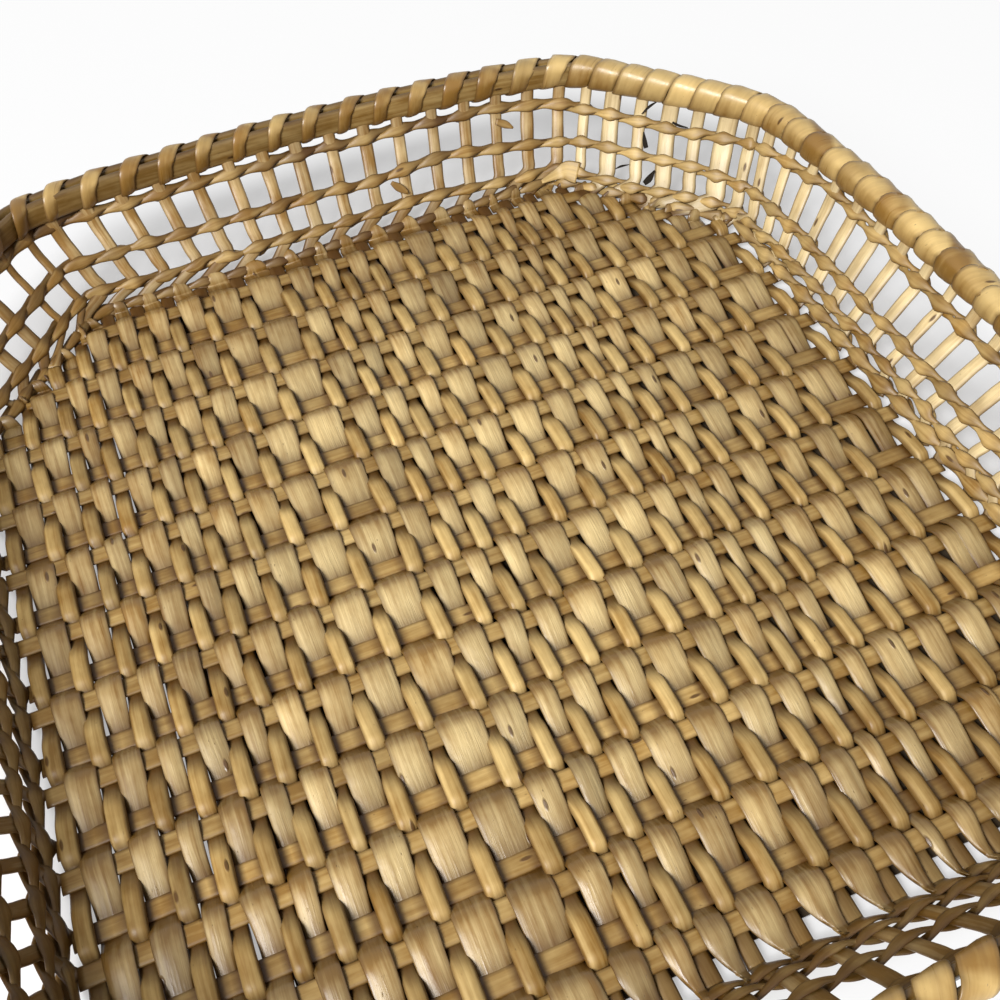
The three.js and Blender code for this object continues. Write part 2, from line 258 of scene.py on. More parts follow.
def rod_section(points):
    """Section of a split rod: a round top over a nearly flat underside."""
    across, high = flat_section(points, ROD_ROUNDNESS)
    underside = -0.5 + ROD_UNDERSIDE_SHARE * (0.5 + high)
    top = high * ROD_TOP_SHARE - ROD_UNDERSIDE_SHARE * (high == 0)
    return across, np.where(high < 0, underside, top)


# How far from the middle of the base its splints begin to darken, and how much they do: painted
# shade of the walls at the left, front and back, and browner wood at the right
WALL_SHADE_LEFT = 0.015
WALL_SHADE_FRONT = 0.06
WALL_SHADE_BACK = 0.055
BROWN_RIGHT = 0.03
BROWN_RIGHT_SHARE = 0.6
SHADE_AND_BROWN_RUN = 0.11
SHADE_AND_BROWN_TONE = 0.48
SHADE_AND_BROWN_SKIN = 0.52


def shade_and_brown(rows):
    """Darkens a splint near the base's edges: painted wall shade, and browner wood at the right."""
    # Painted shade of the left, front and back walls, and browner wood toward the right
    left = np.clip((-rows[:, X] - WALL_SHADE_LEFT) / SHADE_AND_BROWN_RUN, 0, 1)
    front = np.clip((-rows[:, Y] - WALL_SHADE_FRONT) / SHADE_AND_BROWN_RUN, 0, 1)
    back = np.clip((rows[:, Y] - WALL_SHADE_BACK) / SHADE_AND_BROWN_RUN, 0, 1)
    right = BROWN_RIGHT_SHARE * np.clip((rows[:, X] - BROWN_RIGHT) / SHADE_AND_BROWN_RUN, 0, 1)
    darkened = np.maximum(np.maximum(left, front), np.maximum(back, right))
    rows[:, TONE] -= SHADE_AND_BROWN_TONE * darkened
    rows[:, SKIN] *= 1 - SHADE_AND_BROWN_SKIN * darkened


# Ridges run along a splint's upper side, and its grain is shifted across and along at random
RIDGE_SPACING = 9
RIDGE_ABOVE = 0.2
GRAIN_SHIFTS = (1, 4)
# A painted contact shadow lies along the edges, and a station's darkening is less on the underside than
# above
EDGE_SHARE = 0.25
EDGE_SHADOW = 0.7
LOW_DARKENING_SHARE = 0.3


class Bundle:
    """Gathers splints into the mesh of one piece."""

    def __init__(self):
        self.points, self.faces, self.grain, self.wood = [], [], [], []
        self.count = 0

    def add(self, stations, section, rng, relief=0.0, ring=False):
        across, high = section
        place = stations[:, PLACE]
        if ring:
            ahead = np.roll(place, -1, axis=0) - np.roll(place, 1, axis=0)
        else:
            ahead = np.gradient(place, axis=0)
        ahead /= np.linalg.norm(ahead, axis=1)[:, None]
        side = stations[:, SIDE]
        side = side - ahead * np.sum(side * ahead, axis=1)[:, None]
        side /= np.linalg.norm(side, axis=1)[:, None]
        up = np.cross(side, ahead)
        rows, columns = len(stations), len(across)
        half = np.where(across < 0, stations[:, LEFT][:, None], stations[:, RIGHT][:, None])
        sideways = across * half
        rise = high * stations[:, THICK][:, None]
        rise = rise + stations[:, CROWN][:, None] * (1 - across ** 2)
        rise = rise + stations[:, LEAN][:, None] * across
        if relief:
            ridges = drift(rng, rows, RIDGE_SPACING, columns) * relief
            rise = rise + ridges * (high > RIDGE_ABOVE)
        points = place[:, None] + side[:, None] * sideways[..., None] + up[:, None] * rise[..., None]
        run = np.append(0, np.cumsum(np.linalg.norm(np.diff(place, axis=0), axis=1)))
        grain_across = sideways + rng.uniform(0, GRAIN_SHIFTS[0])
        grain_along = np.repeat((run + rng.uniform(0, GRAIN_SHIFTS[1]))[:, None], columns, 1)
        grain = np.stack([grain_across, grain_along], -1)
        # Painted contact shadow along both edges, on top of each station's dirt and painted shade
        edge = np.clip((np.abs(across) - 1) / EDGE_SHARE + 1, 0, 1)
        upper = LOW_DARKENING_SHARE + (1 - LOW_DARKENING_SHARE) * np.clip(0.5 + high, 0, 1)
        wood = np.ones((rows, columns, 4))
        wood[..., 0] = 0.5 + 0.5 * np.clip(stations[:, TONE], -1, 1)[:, None]
        wood[..., 1] = np.clip(stations[:, SKIN], 0, 1)[:, None]
        wood[..., 2] = np.clip(stations[:, DIRT_AND_SHADE][:, None] * upper + EDGE_SHADOW * edge, 0, 1)
        index = np.arange(rows * columns).reshape(rows, columns) + self.count
        nexts = np.roll(index, -1, axis=1)
        if ring:
            quads = np.stack([index, np.roll(index, -1, 0), np.roll(nexts, -1, 0), nexts], -1)
            caps = []
        else:
            quads = np.stack([index[:-1], index[1:], nexts[1:], nexts[:-1]], -1)
            caps = [index[0].tolist(), index[-1][::-1].tolist()]
        self.points.append(points.reshape(-1, 3))
        self.faces += quads.reshape(-1, 4).tolist() + caps
        self.grain.append(grain.reshape(-1, 2))
        self.wood.append(wood.reshape(-1, 4))
        self.count += rows * columns

    def make(self, name, material, slot, nodes):
        mesh = bpy.data.meshes.new(name)
        mesh.from_pydata(np.vstack(self.points).tolist(), [], self.faces)
        corner_points = np.empty(len(mesh.loops), int)
        mesh.loops.foreach_get("vertex_index", corner_points)
        grain = mesh.uv_layers.new(name="grain")
        grain.data.foreach_set("uv", np.vstack(self.grain)[corner_points].ravel())
        wood = mesh.color_attributes.new("wood", "FLOAT_COLOR", "POINT")
        wood.data.foreach_set("color", np.vstack(self.wood).ravel())
        mesh.shade_smooth()
        mesh.materials.append(material)
        piece = bpy.data.objects.new(name, mesh)
        bpy.context.scene.collection.objects.link(piece)
        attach(piece, "root")
        if nodes:
            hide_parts(*nodes)
        return piece


def socket(group, name, kind, way, value=None):
    made = group.interface.new_socket(name=name, socket_type=kind, in_out=way)
    if value is not None:
        made.default_value = value
    return made


# Colours of the pale outer skin, on the base, on the walls and on the wide splints, of the
# honey-brown wood under it, and the dark of its lines, knots, stains, dirt and painted shade
PALE = (0.71, 0.50, 0.20)
WALL_PALE = (0.80, 0.625, 0.33)
SPLINT_PALE = (0.76, 0.57, 0.265)
HONEY = (0.285, 0.15, 0.030)
DARK = (0.075, 0.029, 0.003)
# Noise in the wood: how dense it is across and along the grain, and how detailed
FINE = (2400, 60, 3)
THREAD = (1150, 75, 2)
STREAK = (520, 22, 2)
CLOUD = (130, 60, 3)
FLECK = (1500, 420, 2)
KNOT = (110, 34)
NOISE_ROUGHNESS = 0.6
# What one value does to another: its low and high, and the two numbers that these become
FIBRE_TO_STREAKS = (0, 0.5, 0.2, 1)
STREAK_TO_SKIN = (0.3, 0.7, -0.30, 0.30)
CLOUD_TO_SKIN = (0.3, 0.7, -0.24, 0.24)
SKIN_TO_STRENGTH = (0.2, 1, 0.12, 1)
CLOUD_TO_STRENGTH = (0.35, 0.65, 0.5, 1.2)
WOOD_TO_TONE = (0, 1, 0.64, 1.26)
FINE_TO_TONE = (0.3, 0.7, -0.18, 0.13)
THREAD_TO_TONE = (0.3, 0.7, -0.10, 0.08)
THREAD_TO_LINES = (0.32, 0.22, 0, 0.4)
FLECK_TO_SPOTS = (0.68, 0.76, 0, 0.75)
CLOUD_TO_SPOTS = (0.5, 0.6, 0, 1)
DISTANCE_TO_KNOT = (0.05, 0.09, 0.9, 0)
CHANCE_TO_KNOT = (0.84, 0.85, 0, 1)
STREAK_TO_ROUGHNESS = (0.3, 0.7, 0.46, 0.66)
POLISH_TO_ROUGHNESS = -0.28
# How far the dark colour covers the wood at full dirt and painted shade
DIRT_AND_SHADE_COVER = 0.96
# How high threads, fine grain and streaks stand, and how deep spots lie, before the bump's size
THREAD_HEIGHT = 0.6
FINE_HEIGHT = 0.5
STREAK_HEIGHT = 0.4
SPOT_DEPTH = 0.5
# Gloss of an unpolished splint, and how much more polish gives
DULL_GLOSS = 0.25
POLISH_GLOSS = 0.5


def split_willow_group():
    """Colour, roughness and height of split willow, along the grain of each splint."""
    group = bpy.data.node_groups.new("split_willow", "ShaderNodeTree")
    socket(group, "Pale", "NodeSocketColor", "INPUT", (*PALE, 1))
    socket(group, "Honey", "NodeSocketColor", "INPUT", (*HONEY, 1))
    socket(group, "Dark", "NodeSocketColor", "INPUT", (*DARK, 1))
    socket(group, "Fibre", "NodeSocketFloat", "INPUT", 0.5)
    socket(group, "Polish", "NodeSocketFloat", "INPUT", 0.5)
    socket(group, "Color", "NodeSocketColor", "OUTPUT")
    socket(group, "Roughness", "NodeSocketFloat", "OUTPUT")
    socket(group, "Height", "NodeSocketFloat", "OUTPUT")
    nodes, links = group.nodes, group.links
    given, out = nodes.new("NodeGroupInput"), nodes.new("NodeGroupOutput")
    grain = nodes.new("ShaderNodeUVMap")
    grain.uv_map = "grain"
    wood = nodes.new("ShaderNodeVertexColor")
    wood.layer_name = "wood"
    parts = nodes.new("ShaderNodeSeparateColor")
    links.new(wood.outputs["Color"], parts.inputs["Color"])

    def texture_of(kind, across, along):
        scaled = nodes.new("ShaderNodeVectorMath")
        scaled.operation = "MULTIPLY"
        scaled.inputs[1].default_value = (across, along, 1)
        links.new(grain.outputs["UV"], scaled.inputs[0])
        texture = nodes.new(kind)
        texture.inputs["Scale"].default_value = 1
        links.new(scaled.outputs["Vector"], texture.inputs["Vector"])
        return texture

    def noise(across, along, detail):
        texture = texture_of("ShaderNodeTexNoise", across, along)
        texture.inputs["Detail"].default_value = detail
        texture.inputs["Roughness"].default_value = NOISE_ROUGHNESS
        return texture.outputs["Fac"]

    def remap(value, low, high, new_low, new_high):
        ranged = nodes.new("ShaderNodeMapRange")
        ranged.inputs["From Min"].default_value = low
        ranged.inputs["From Max"].default_value = high
        ranged.inputs["To Min"].default_value = new_low
        ranged.inputs["To Max"].default_value = new_high
        links.new(value, ranged.inputs["Value"])
        return ranged.outputs["Result"]

    def sum_of(a, b, operation="ADD"):
        step = nodes.new("ShaderNodeMath")
        step.operation = operation
        for number, key in ((a, 0), (b, 1)):
            if isinstance(number, (int, float)):
                step.inputs[key].default_value = number
            else:
                links.new(number, step.inputs[key])
        return step.outputs["Value"]

    def product(a, b):
        return sum_of(a, b, "MULTIPLY")

    def blend(share, a, b, kind="MIX"):
        mix = nodes.new("ShaderNodeMix")
        mix.data_type = "RGBA"
        mix.blend_type = kind
        mix.clamp_factor = True
        links.new(share, mix.inputs["Factor"])
        for colour, key in ((a, "A"), (b, "B")):
            where = [s for s in mix.inputs if s.name == key and s.type == "RGBA"][0]
            if isinstance(colour, tuple):
                where.default_value = colour
            else:
                links.new(colour, where)
        return [s for s in mix.outputs if s.type == "RGBA"][0]

    fine = noise(*FINE)
    thread = noise(*THREAD)
    streak = noise(*STREAK)
    cloud = noise(*CLOUD)
    fleck = noise(*FLECK)
    bare = parts.outputs["Green"]
    streaked = remap(given.outputs["Fibre"], *FIBRE_TO_STREAKS)
    skin = sum_of(bare, product(remap(streak, *STREAK_TO_SKIN), streaked))
    skin = sum_of(skin, remap(cloud, *CLOUD_TO_SKIN))
    body = blend(skin, given.outputs["Honey"], given.outputs["Pale"])
    strength = product(given.outputs["Fibre"], remap(bare, *SKIN_TO_STRENGTH))
    strength = product(strength, remap(cloud, *CLOUD_TO_STRENGTH))
    tone = remap(parts.outputs["Red"], *WOOD_TO_TONE)
    tone = sum_of(tone, product(remap(fine, *FINE_TO_TONE), strength))
    tone = sum_of(tone, product(remap(thread, *THREAD_TO_TONE), strength))
    tones = nodes.new("ShaderNodeCombineColor")
    for key in ("Red", "Green", "Blue"):
        links.new(tone, tones.inputs[key])
    full = nodes.new("ShaderNodeValue")
    full.outputs[0].default_value = 1
    body = blend(full.outputs[0], body, tones.outputs["Color"], "MULTIPLY")
    lines = product(remap(thread, *THREAD_TO_LINES), strength)
    body = blend(lines, body, given.outputs["Dark"])
    spots = product(remap(fleck, *FLECK_TO_SPOTS), remap(cloud, *CLOUD_TO_SPOTS))
    knots = texture_of("ShaderNodeTexVoronoi", *KNOT)
    knots.voronoi_dimensions = "2D"
    chosen = nodes.new("ShaderNodeSeparateColor")
    links.new(knots.outputs["Color"], chosen.inputs["Color"])
    knot = remap(knots.outputs["Distance"], *DISTANCE_TO_KNOT)
    knot = product(knot, remap(chosen.outputs["Red"], *CHANCE_TO_KNOT))
    spots = sum_of(spots, knot, "MAXIMUM")
    body = blend(spots, body, given.outputs["Dark"])
    # Dirt, stains and painted shade where parts cover one another mix in the dark colour
    body = blend(product(parts.outputs["Blue"], DIRT_AND_SHADE_COVER), body, given.outputs["Dark"])
    links.new(body, out.inputs["Color"])
    rough = product(given.outputs["Polish"], POLISH_TO_ROUGHNESS)
    rough = sum_of(remap(streak, *STREAK_TO_ROUGHNESS), rough)
    links.new(rough, out.inputs["Roughness"])
    height = product(product(thread, strength), THREAD_HEIGHT)
    height = sum_of(height, product(product(fine, strength), FINE_HEIGHT))
    height = sum_of(height, product(product(streak, streaked), STREAK_HEIGHT))
    height = sum_of(height, product(spots, SPOT_DEPTH), "SUBTRACT")
    links.new(height, out.inputs["Height"])
    return group


split_willow = split_willow_group()


def willow(name, fibre, polish, bump, shade=1.0, pale=PALE):
    """A material of split willow. Shade is how light it is beside the rest."""
    material = bpy.data.materials.new(name)
    material.use_nodes = True
    nodes, links = material.node_tree.nodes, material.node_tree.links
    shader = nodes["Principled BSDF"]
    wood = nodes.new("ShaderNodeGroup")
    wood.node_tree = split_willow
    for key, colour in (("Pale", pale), ("Honey", HONEY), ("Dark", DARK)):
        wood.inputs[key].default_value = (*(part * shade for part in colour), 1)
    wood.inputs["Fibre"].default_value = fibre
    wood.inputs["Polish"].default_value = polish
    links.new(wood.outputs["Color"], shader.inputs["Base Color"])
    links.new(wood.outputs["Roughness"], shader.inputs["Roughness"])
    ridges = nodes.new("ShaderNodeBump")
    ridges.inputs["Strength"].default_value = 1
    ridges.inputs["Distance"].default_value = bump
    links.new(wood.outputs["Height"], ridges.inputs["Height"])
    links.new(ridges.outputs["Normal"], shader.inputs["Normal"])
    shader.inputs["Specular IOR Level"].default_value = DULL_GLOSS + POLISH_GLOSS * polish
    return material


# Uprights, which are the ends of the stakes and wefts, turned up. How wide they are in each wall
# and how pale their skin is: partly their own colour, partly painted light, paler on the lit right
# walls and darker on the shaded walls round the left and front
UPRIGHT_WIDTHS = (0.0061, 0.0074, 0.0064, 0.0052, 0.0062, 0.0058, 0.0068, 0.0062)
UPRIGHT_SKINS = (0.88, 1.05, 0.25, 0.05, 0.1, 0.1, 0.1, 0.4)
UPRIGHT_THICKNESS = 0.0020
# Heights along an upright, with how much painted shade darkens it there: most where a twined row
# or the rim crosses it
UPRIGHT_SHADE = (
    (0.0082, 0.45), (0.0125, 0.35), (0.0185, 0.0), (0.0245, 0.3),
    (0.0310, 0.0), (0.0375, 0.1), (0.0545, 0.5),
)
# How many uprights stand in each wall above the lowest twined row, where the first one stands as a
# share of the wall, and the step from one to the next
SLOT_COUNTS = (17, 7, 16, 6, 17, 7, 15, 7)
SLOT_STARTS = (0.050, 0.024, 0.010, 0.055, 0.029, 0.071, 0.033, 0.071)
SLOT_STEPS = (0.058, 0.145, 0.0638, 0.165, 0.0588, 0.143, 0.0667, 0.143)
# How far an upright leans along its wall from below the top row down to the lowest
SLOT_LEANS = (0, -0.045, 0.008, 0, 0, 0, 0, 0)
LEAN_TOP = 0.036
LEAN_RUN = 0.025
UPRIGHT_STATION_STEP = 1.4 * STATION_STEP
UPRIGHT_CROWN = 0.0002
UPRIGHT_IN = 0.0002
UPRIGHT_SWAY = 0.0004
UPRIGHT_RELIEF = 0.00003
UPRIGHT_TONE = 0.1
UPRIGHT_TONE_STRAY = 0.22
UPRIGHT_SKIN_STRAY = 0.12
# How much they differ in width from each other, and one of them along its height
UPRIGHT_WIDTH_STRAY = 0.07
UPRIGHT_ALONG_STRAY = 0.03
# They are slimmer at the foot, where they fan out to their even slots
UPRIGHT_FOOT_TOP = 0.010
UPRIGHT_FOOT_SHARE = 0.86
FAN_RUN = 0.008
# At the cut corners the wefts' ends are wider, and the stakes' ends slimmer, by this
CORNER_WIDER = 0.0011

# Where each stake and weft ends on the base and which place it takes along the wall. The middle
# stake is packed with the weft grid, so it is placed between the two wide splints beside it.
PACKED_STAKES = 22
stake_nodes = [f"narrow_stake_{number + 1:02d}" for number in range(PACKED_STAKES)]
stake_places = [(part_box(node)[0].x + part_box(node)[1].x) / 2 for node in stake_nodes]
middle_stake = len(stake_places) // 2
beside = (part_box("wide_splint_11")[1].x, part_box("wide_splint_12")[0].x)
stake_places.insert(middle_stake, sum(beside) / 2)
stake_nodes.insert(middle_stake, "weft_grid")

ends = []
for axis, places in ((0, stake_places), (1, [y for y, _ in weft_places])):
    for number, across in enumerate(places):
        for sign in (-1, 1):
            wall, share = wall_end(axis, across, sign)
            ends.append({"axis": axis, "number": number, "sign": sign, "wall": wall, "share": share})
ends.sort(key=lambda end: (end["wall"], end["share"]))
ends = [*ends[-1:], *ends[:-1]]
for end in ends:
    end["foot"] = end["wall"] + end["share"]
ends[0]["foot"] -= WALL_COUNT
slots = []
for wall, (count, start, step) in enumerate(zip(SLOT_COUNTS, SLOT_STARTS, SLOT_STEPS)):
    slots += [wall + start + number * step for number in range(count)]
for end, slot in zip(ends, slots):
    end["slot"] = slot
end_of = {(end["axis"], end["number"], end["sign"]): end for end in ends}


def upright_at(end, height):
    """Where an upright stands round the walls: fanned out from its foot to its even slot."""
    slid = np.clip((height - FOOT_HEIGHT) / FAN_RUN, 0, 1)
    lean = between_walls(SLOT_LEANS, end["slot"]) * np.clip((LEAN_TOP - height) / LEAN_RUN, 0, 1)
    return end["foot"] + (end["slot"] + lean - end["foot"]) * slid * slid * (3 - 2 * slid)


def turned_up(base_end, end, outgoing, rng):
    """Stations of an upright, from the end of a splint's run on the base up to the rim."""
    wall = int(np.floor(end["slot"])) % WALL_COUNT
    facing = -1 if outgoing else 1
    tone = UPRIGHT_TONE + rng.normal() * UPRIGHT_TONE_STRAY
    rows = [base_end]
    sway = rng.normal(size=2) * UPRIGHT_SWAY
    full = UPRIGHT_WIDTHS[wall] * (1 + rng.normal() * UPRIGHT_WIDTH_STRAY)
    if wall % 2:
        full += CORNER_WIDER if end["axis"] else -CORNER_WIDER
    for height, dirt_and_shade in UPRIGHT_SHADE:
        here, along, _, inward = ring_frame(upright_at(end, height), height)
        here = here + along * sway[0] + inward * UPRIGHT_IN
        at_foot = height < UPRIGHT_FOOT_TOP
        width = full * (UPRIGHT_FOOT_SHARE if at_foot else 1 + rng.normal() * UPRIGHT_ALONG_STRAY)
        skin = UPRIGHT_SKINS[wall] + rng.normal() * UPRIGHT_SKIN_STRAY
        row = station(here, along * facing, width, UPRIGHT_THICKNESS, UPRIGHT_CROWN)
        # Painted shade where the twined rows and the rim cross the upright
        row[TONE], row[SKIN], row[DIRT_AND_SHADE] = tone, skin, dirt_and_shade
        rows.append(row)
    line = smooth_line(rows, UPRIGHT_STATION_STEP)
    return line if outgoing else line[::-1]


WEFT_SEED = 100
WEFT_STATION_STEP = 2 * STATION_STEP
WEFT_RELIEF = 0.00003
# How a weft strays sideways and in height, and in width as a share
WEFT_SWAY = 0.00022
WEFT_HEAVE = 0.0001
WEFT_WIDTH_STRAY = 0.025
# How wefts differ in tone, and how tone and skin change along one
WEFT_TONE_STRAY = 0.3
WEFT_TONE_DRIFT = 0.25
WEFT_SKIN = 0.45
WEFT_SKIN_DRIFT = 0.15
# How far from a stake's middle a first weft goes under the wide splints, and a second one comes
# out from under the stake. Where covered, a weft is darkened with painted shade
FIRST_COVER = 0.0026
SECOND_COVER = 0.0066
COVER_FADE = 0.0028

weft_wood = willow("weft_wood", fibre=0.3, polish=0.4, bump=0.0003)
wall_wood = willow("wall_wood", fibre=0.4, polish=0.5, bump=0.0003, pale=WALL_PALE)
weft_section = flat_section(points=12, roundness=0.45)
upright_section = flat_section(points=12, roundness=0.8)
uprights = [Bundle() for _ in range(WALL_COUNT)]


def base_run(axis, across, step):
    """Even places along a splint's run on the base, between its cut ends."""
    reach = reach_of(across, axis, 0)
    return np.linspace(-reach, reach, round(2 * reach / step) + 1)


for number, (across, is_first) in enumerate(weft_places):
    rng = np.random.default_rng(WEFT_SEED + number)
    run = base_run(1, across, WEFT_STATION_STEP)
    count = len(run)
    sway = drift(rng, count, spacing=14, width=3)
    rows = np.zeros((count, COLUMNS))
    rows[:, X] = run
    rows[:, Y] = across + sway[:, 0] * WEFT_SWAY
    rows[:, Z] = WEAVE_HEIGHT + (WEFT_STEP if is_first else -WEFT_STEP) + sway[:, 1] * WEFT_HEAVE
    rows[:, SIDE_Y] = -1
    rows[:, LEFT] = rows[:, RIGHT] = WEFT_WIDTH / 2 * (1 + sway[:, 2] * WEFT_WIDTH_STRAY)
    rows[:, THICK] = WEFT_THICKNESS
    rows[:, TONE] = rng.normal() * WEFT_TONE_STRAY
    rows[:, TONE] += drift(rng, count, spacing=20)[:, 0] * WEFT_TONE_DRIFT
    rows[:, SKIN] = WEFT_SKIN + drift(rng, count, spacing=8)[:, 0] * WEFT_SKIN_DRIFT
    from_stake = np.min(np.abs(run[:, None] - np.array(stake_places)), axis=1)
    covered = from_stake - FIRST_COVER if is_first else SECOND_COVER - from_stake
    # Painted shade where the weft passes under the wide splints or under the stake
    rows[:, DIRT_AND_SHADE] = np.clip(covered / COVER_FADE, 0, 1)
    shade_and_brown(rows)
    bundle = Bundle()
    bundle.add(rows, weft_section, rng, relief=WEFT_RELIEF)
    bundle.make(f"weft_{number + 1:02d}", weft_wood, "weft_strip", ["weft_grid"])
    for sign, tip in ((-1, rows[0]), (1, rows[-1])):
        end = end_of[1, number, sign]
        wall = int(np.floor(end["slot"])) % WALL_COUNT
        upright = turned_up(tip, end, sign > 0, rng)
        uprights[wall].add(upright, upright_section, rng, relief=UPRIGHT_RELIEF)


# Narrow stakes. Thin willow rods split in half, round side up. They run under the first weft of
# each pair and over the second, bend up at the front and back and end in the rim.
STAKE_WIDTH = 0.0067
# Stakes and splints are slimmer toward the right of the base: from where, over what run, how much
SLIM_FROM = 0.05
SLIM_RUN = 0.09
STAKE_SLIM = 0.10
SPLINT_SLIM = 0.05
STAKE_THICKNESS = 0.0034
STAKE_HIGH = 0.0017
STAKE_LOW = -0.0015
# Less painted shade at a stake's front end: this share of it there, full after this run
STAKE_FRONT_SHADE_RUN = 0.016
STAKE_FRONT_SHADE_SHARE = 0.35
STAKE_SEED = 200
STAKE_RELIEF = 0.00004
# How a stake strays sideways, and in width, height and place along the pairs as shares
STAKE_SWAY = 0.0003
STAKE_WIDTH_STRAYS = (0.04, 0.05)
STAKE_RISE_STRAY = 0.05
PHASE_STRAY = 0.012
STAKE_TONE = 0.24
STAKE_TONE_STRAYS = (0.2, 0.22)
STAKE_SKIN = 0.74
STAKE_SKIN_STRAY = 0.18
STAKE_SHADE_POWER = 1.3
# A stake is flatter where it passes under a weft
STAKE_PRESSED_SHARE = 0.74
# Height of a stake along one pair of wefts, from under its first weft to under the next
STAKE_RISE_PHASES = (0, 0.11, 0.46, 0.74, 0.89, 1)
STAKE_RISES = (0, 0.02, 1, 1, 0.03, 0)
# How wide it looks there
STAKE_PHASES = (0, 0.11, 0.22, 0.72, 0.80, 0.86, 0.90, 1)
STAKE_WIDTH_SHARES = (0.92, 0.96, 1, 1, 0.99, 0.93, 0.86, 0.88)

stake_wood = willow("stake_wood", fibre=0.5, polish=0.28, bump=0.0004, shade=0.98)
stake_section = rod_section(points=14)


def phased(run, first, rng):
    """Number of the pair that each place on a run lies in, and how far through it, front-wards."""
    pairs = (first - run) / PAIR_PITCH + drift(rng, len(run), spacing=12)[:, 0] * PHASE_STRAY
    return np.floor(pairs).astype(int), pairs - np.floor(pairs)


def eased(at, places, values):
    """Values that swing smoothly from one turning point to the next."""
    index = np.clip(np.searchsorted(places, at) - 1, 0, len(places) - 2)
    part = np.clip((at - np.take(places, index)) / np.take(np.diff(places), index), 0, 1)
    part = (1 - np.cos(np.pi * part)) / 2
    return np.take(values, index) * (1 - part) + np.take(values, index + 1) * part


for number, across in enumerate(stake_places):
    rng = np.random.default_rng(STAKE_SEED + number)
    run = base_run(0, across, STATION_STEP)
    count = len(run)
    pair, phase = phased(run, weft_places[0][0], rng)
    risen = eased(phase, STAKE_RISE_PHASES, STAKE_RISES)
    risen = risen * (pair >= 0) * (pair < PAIR_COUNT - 1)
    sway = drift(rng, count, spacing=22, width=3)
    each = rng.normal(size=(PAIR_COUNT + 3, 3))[pair + 1]
    rows = np.zeros((count, COLUMNS))
    rows[:, X] = across + sway[:, 0] * STAKE_SWAY
    rows[:, Y] = run
    rise = (STAKE_HIGH - STAKE_LOW) * risen * (1 + each[:, 0] * STAKE_RISE_STRAY)
    rows[:, Z] = WEAVE_HEIGHT + STAKE_LOW + rise
    rows[:, SIDE_X] = 1
    slim = 1 - STAKE_SLIM * np.clip((across - SLIM_FROM) / SLIM_RUN, 0, 1)
    width = slim * STAKE_WIDTH * (1 + rng.normal() * STAKE_WIDTH_STRAYS[0])
    width = width * np.interp(phase, STAKE_PHASES, STAKE_WIDTH_SHARES)
    rows[:, LEFT] = width / 2 * (1 + sway[:, 1] * STAKE_WIDTH_STRAYS[1])
    rows[:, RIGHT] = width / 2 * (1 + sway[:, 2] * STAKE_WIDTH_STRAYS[1])
    rows[:, THICK] = STAKE_THICKNESS * (STAKE_PRESSED_SHARE + (1 - STAKE_PRESSED_SHARE) * risen)
    rows[:, TONE] = STAKE_TONE + rng.normal() * STAKE_TONE_STRAYS[0] + each[:, 1] * STAKE_TONE_STRAYS[1]
    rows[:, SKIN] = STAKE_SKIN + each[:, 2] * STAKE_SKIN_STRAY
    # Painted shade where the stake dips under a weft, less of it near its front end
    rows[:, DIRT_AND_SHADE] = (1 - risen) ** STAKE_SHADE_POWER
    rows[:, DIRT_AND_SHADE] *= np.interp(run - run[0], (0, STAKE_FRONT_SHADE_RUN), (STAKE_FRONT_SHADE_SHARE, 1))
    shade_and_brown(rows)
    bundle = Bundle()
    bundle.add(rows, stake_section, rng, relief=STAKE_RELIEF)
    name = f"stake_{number + 1:02d}_rod"
    bundle.make(name, stake_wood, "narrow_stake", [stake_nodes[number]])
    for sign, tip in ((-1, rows[0]), (1, rows[-1])):
        end = end_of[0, number, sign]
        wall = int(np.floor(end["slot"])) % WALL_COUNT
        upright = turned_up(tip, end, sign > 0, rng)
        uprights[wall].add(upright, upright_section, rng, relief=UPRIGHT_RELIEF)

WALL_NODES = (
    "wall_right", "corner_back_right", "wall_back", "corner_back_left",
    "wall_left", "corner_front_left", "wall_front", "corner_front_right",
)
for node, bundle in zip(WALL_NODES, uprights):
    bundle.make(f"uprights_{node}", wall_wood, "wall_stakes", [node])


# Wide splints. Broad, thin splints of the same willow between the stakes. They run over the first
# weft of each pair and under the second, squeezed between the stakes there, and end at the edge
# of the base as tongues tucked under the lowest twined row.
SPLINT_THICKNESS = 0.0010
SPLINT_HIGH = 0.0027
SPLINT_LOW = -0.0021
SPLINT_SPREAD_SHARE = 1.22
# Two splints lie side by side near the right edge, with no stake between them
SIDE_BY_SIDE = (22, 23)
SIDE_BY_SIDE_SHARE = 0.93
SPLINT_SEED = 300
SPLINT_COUNT = 23
SPLINT_RELIEF = 0.00003
# At the edge of the base a splint settles to one height and width over this run
SPLINT_EDGE_RUN = 0.010
SPLINT_EDGE_SHARE = 0.9
EDGE_RISES = {"back": 0.1, "front": 0.5}
# There it is darker with painted shade, more at the front than at the back, and has less of the
# weave's painted shade
BASE_EDGE_SHADE_SKIN_LOSSES = {"back": 0.6, "front": 0.85}
BASE_EDGE_SHADE_TONE_LOSSES = {"back": 0, "front": 0.2}
BASE_EDGE_SHADE_LOSS = 0.7
# Its left half is cut away to a point at the front
SPLINT_CUT_RUN = 0.012
SPLINT_CUT_DEPTH_SHARE = 1.15
SPLINT_CUT_POWER = 1.5
# How it strays sideways along its length and from pair to pair, and in width and height as shares
SPLINT_SWAY = 0.0003
SPLINT_SHIFT = 0.0002
SPLINT_WIDTH_STRAY = 0.05
SPLINT_RISE_STRAY = 0.06
SPLINT_LEAN_STRAY = 0.0003
SPLINT_TONE_STRAYS = (0.2, 0.3)
SPLINT_SKIN_STRAY = 0.14
SPLINT_SHADE_POWER = 2.4
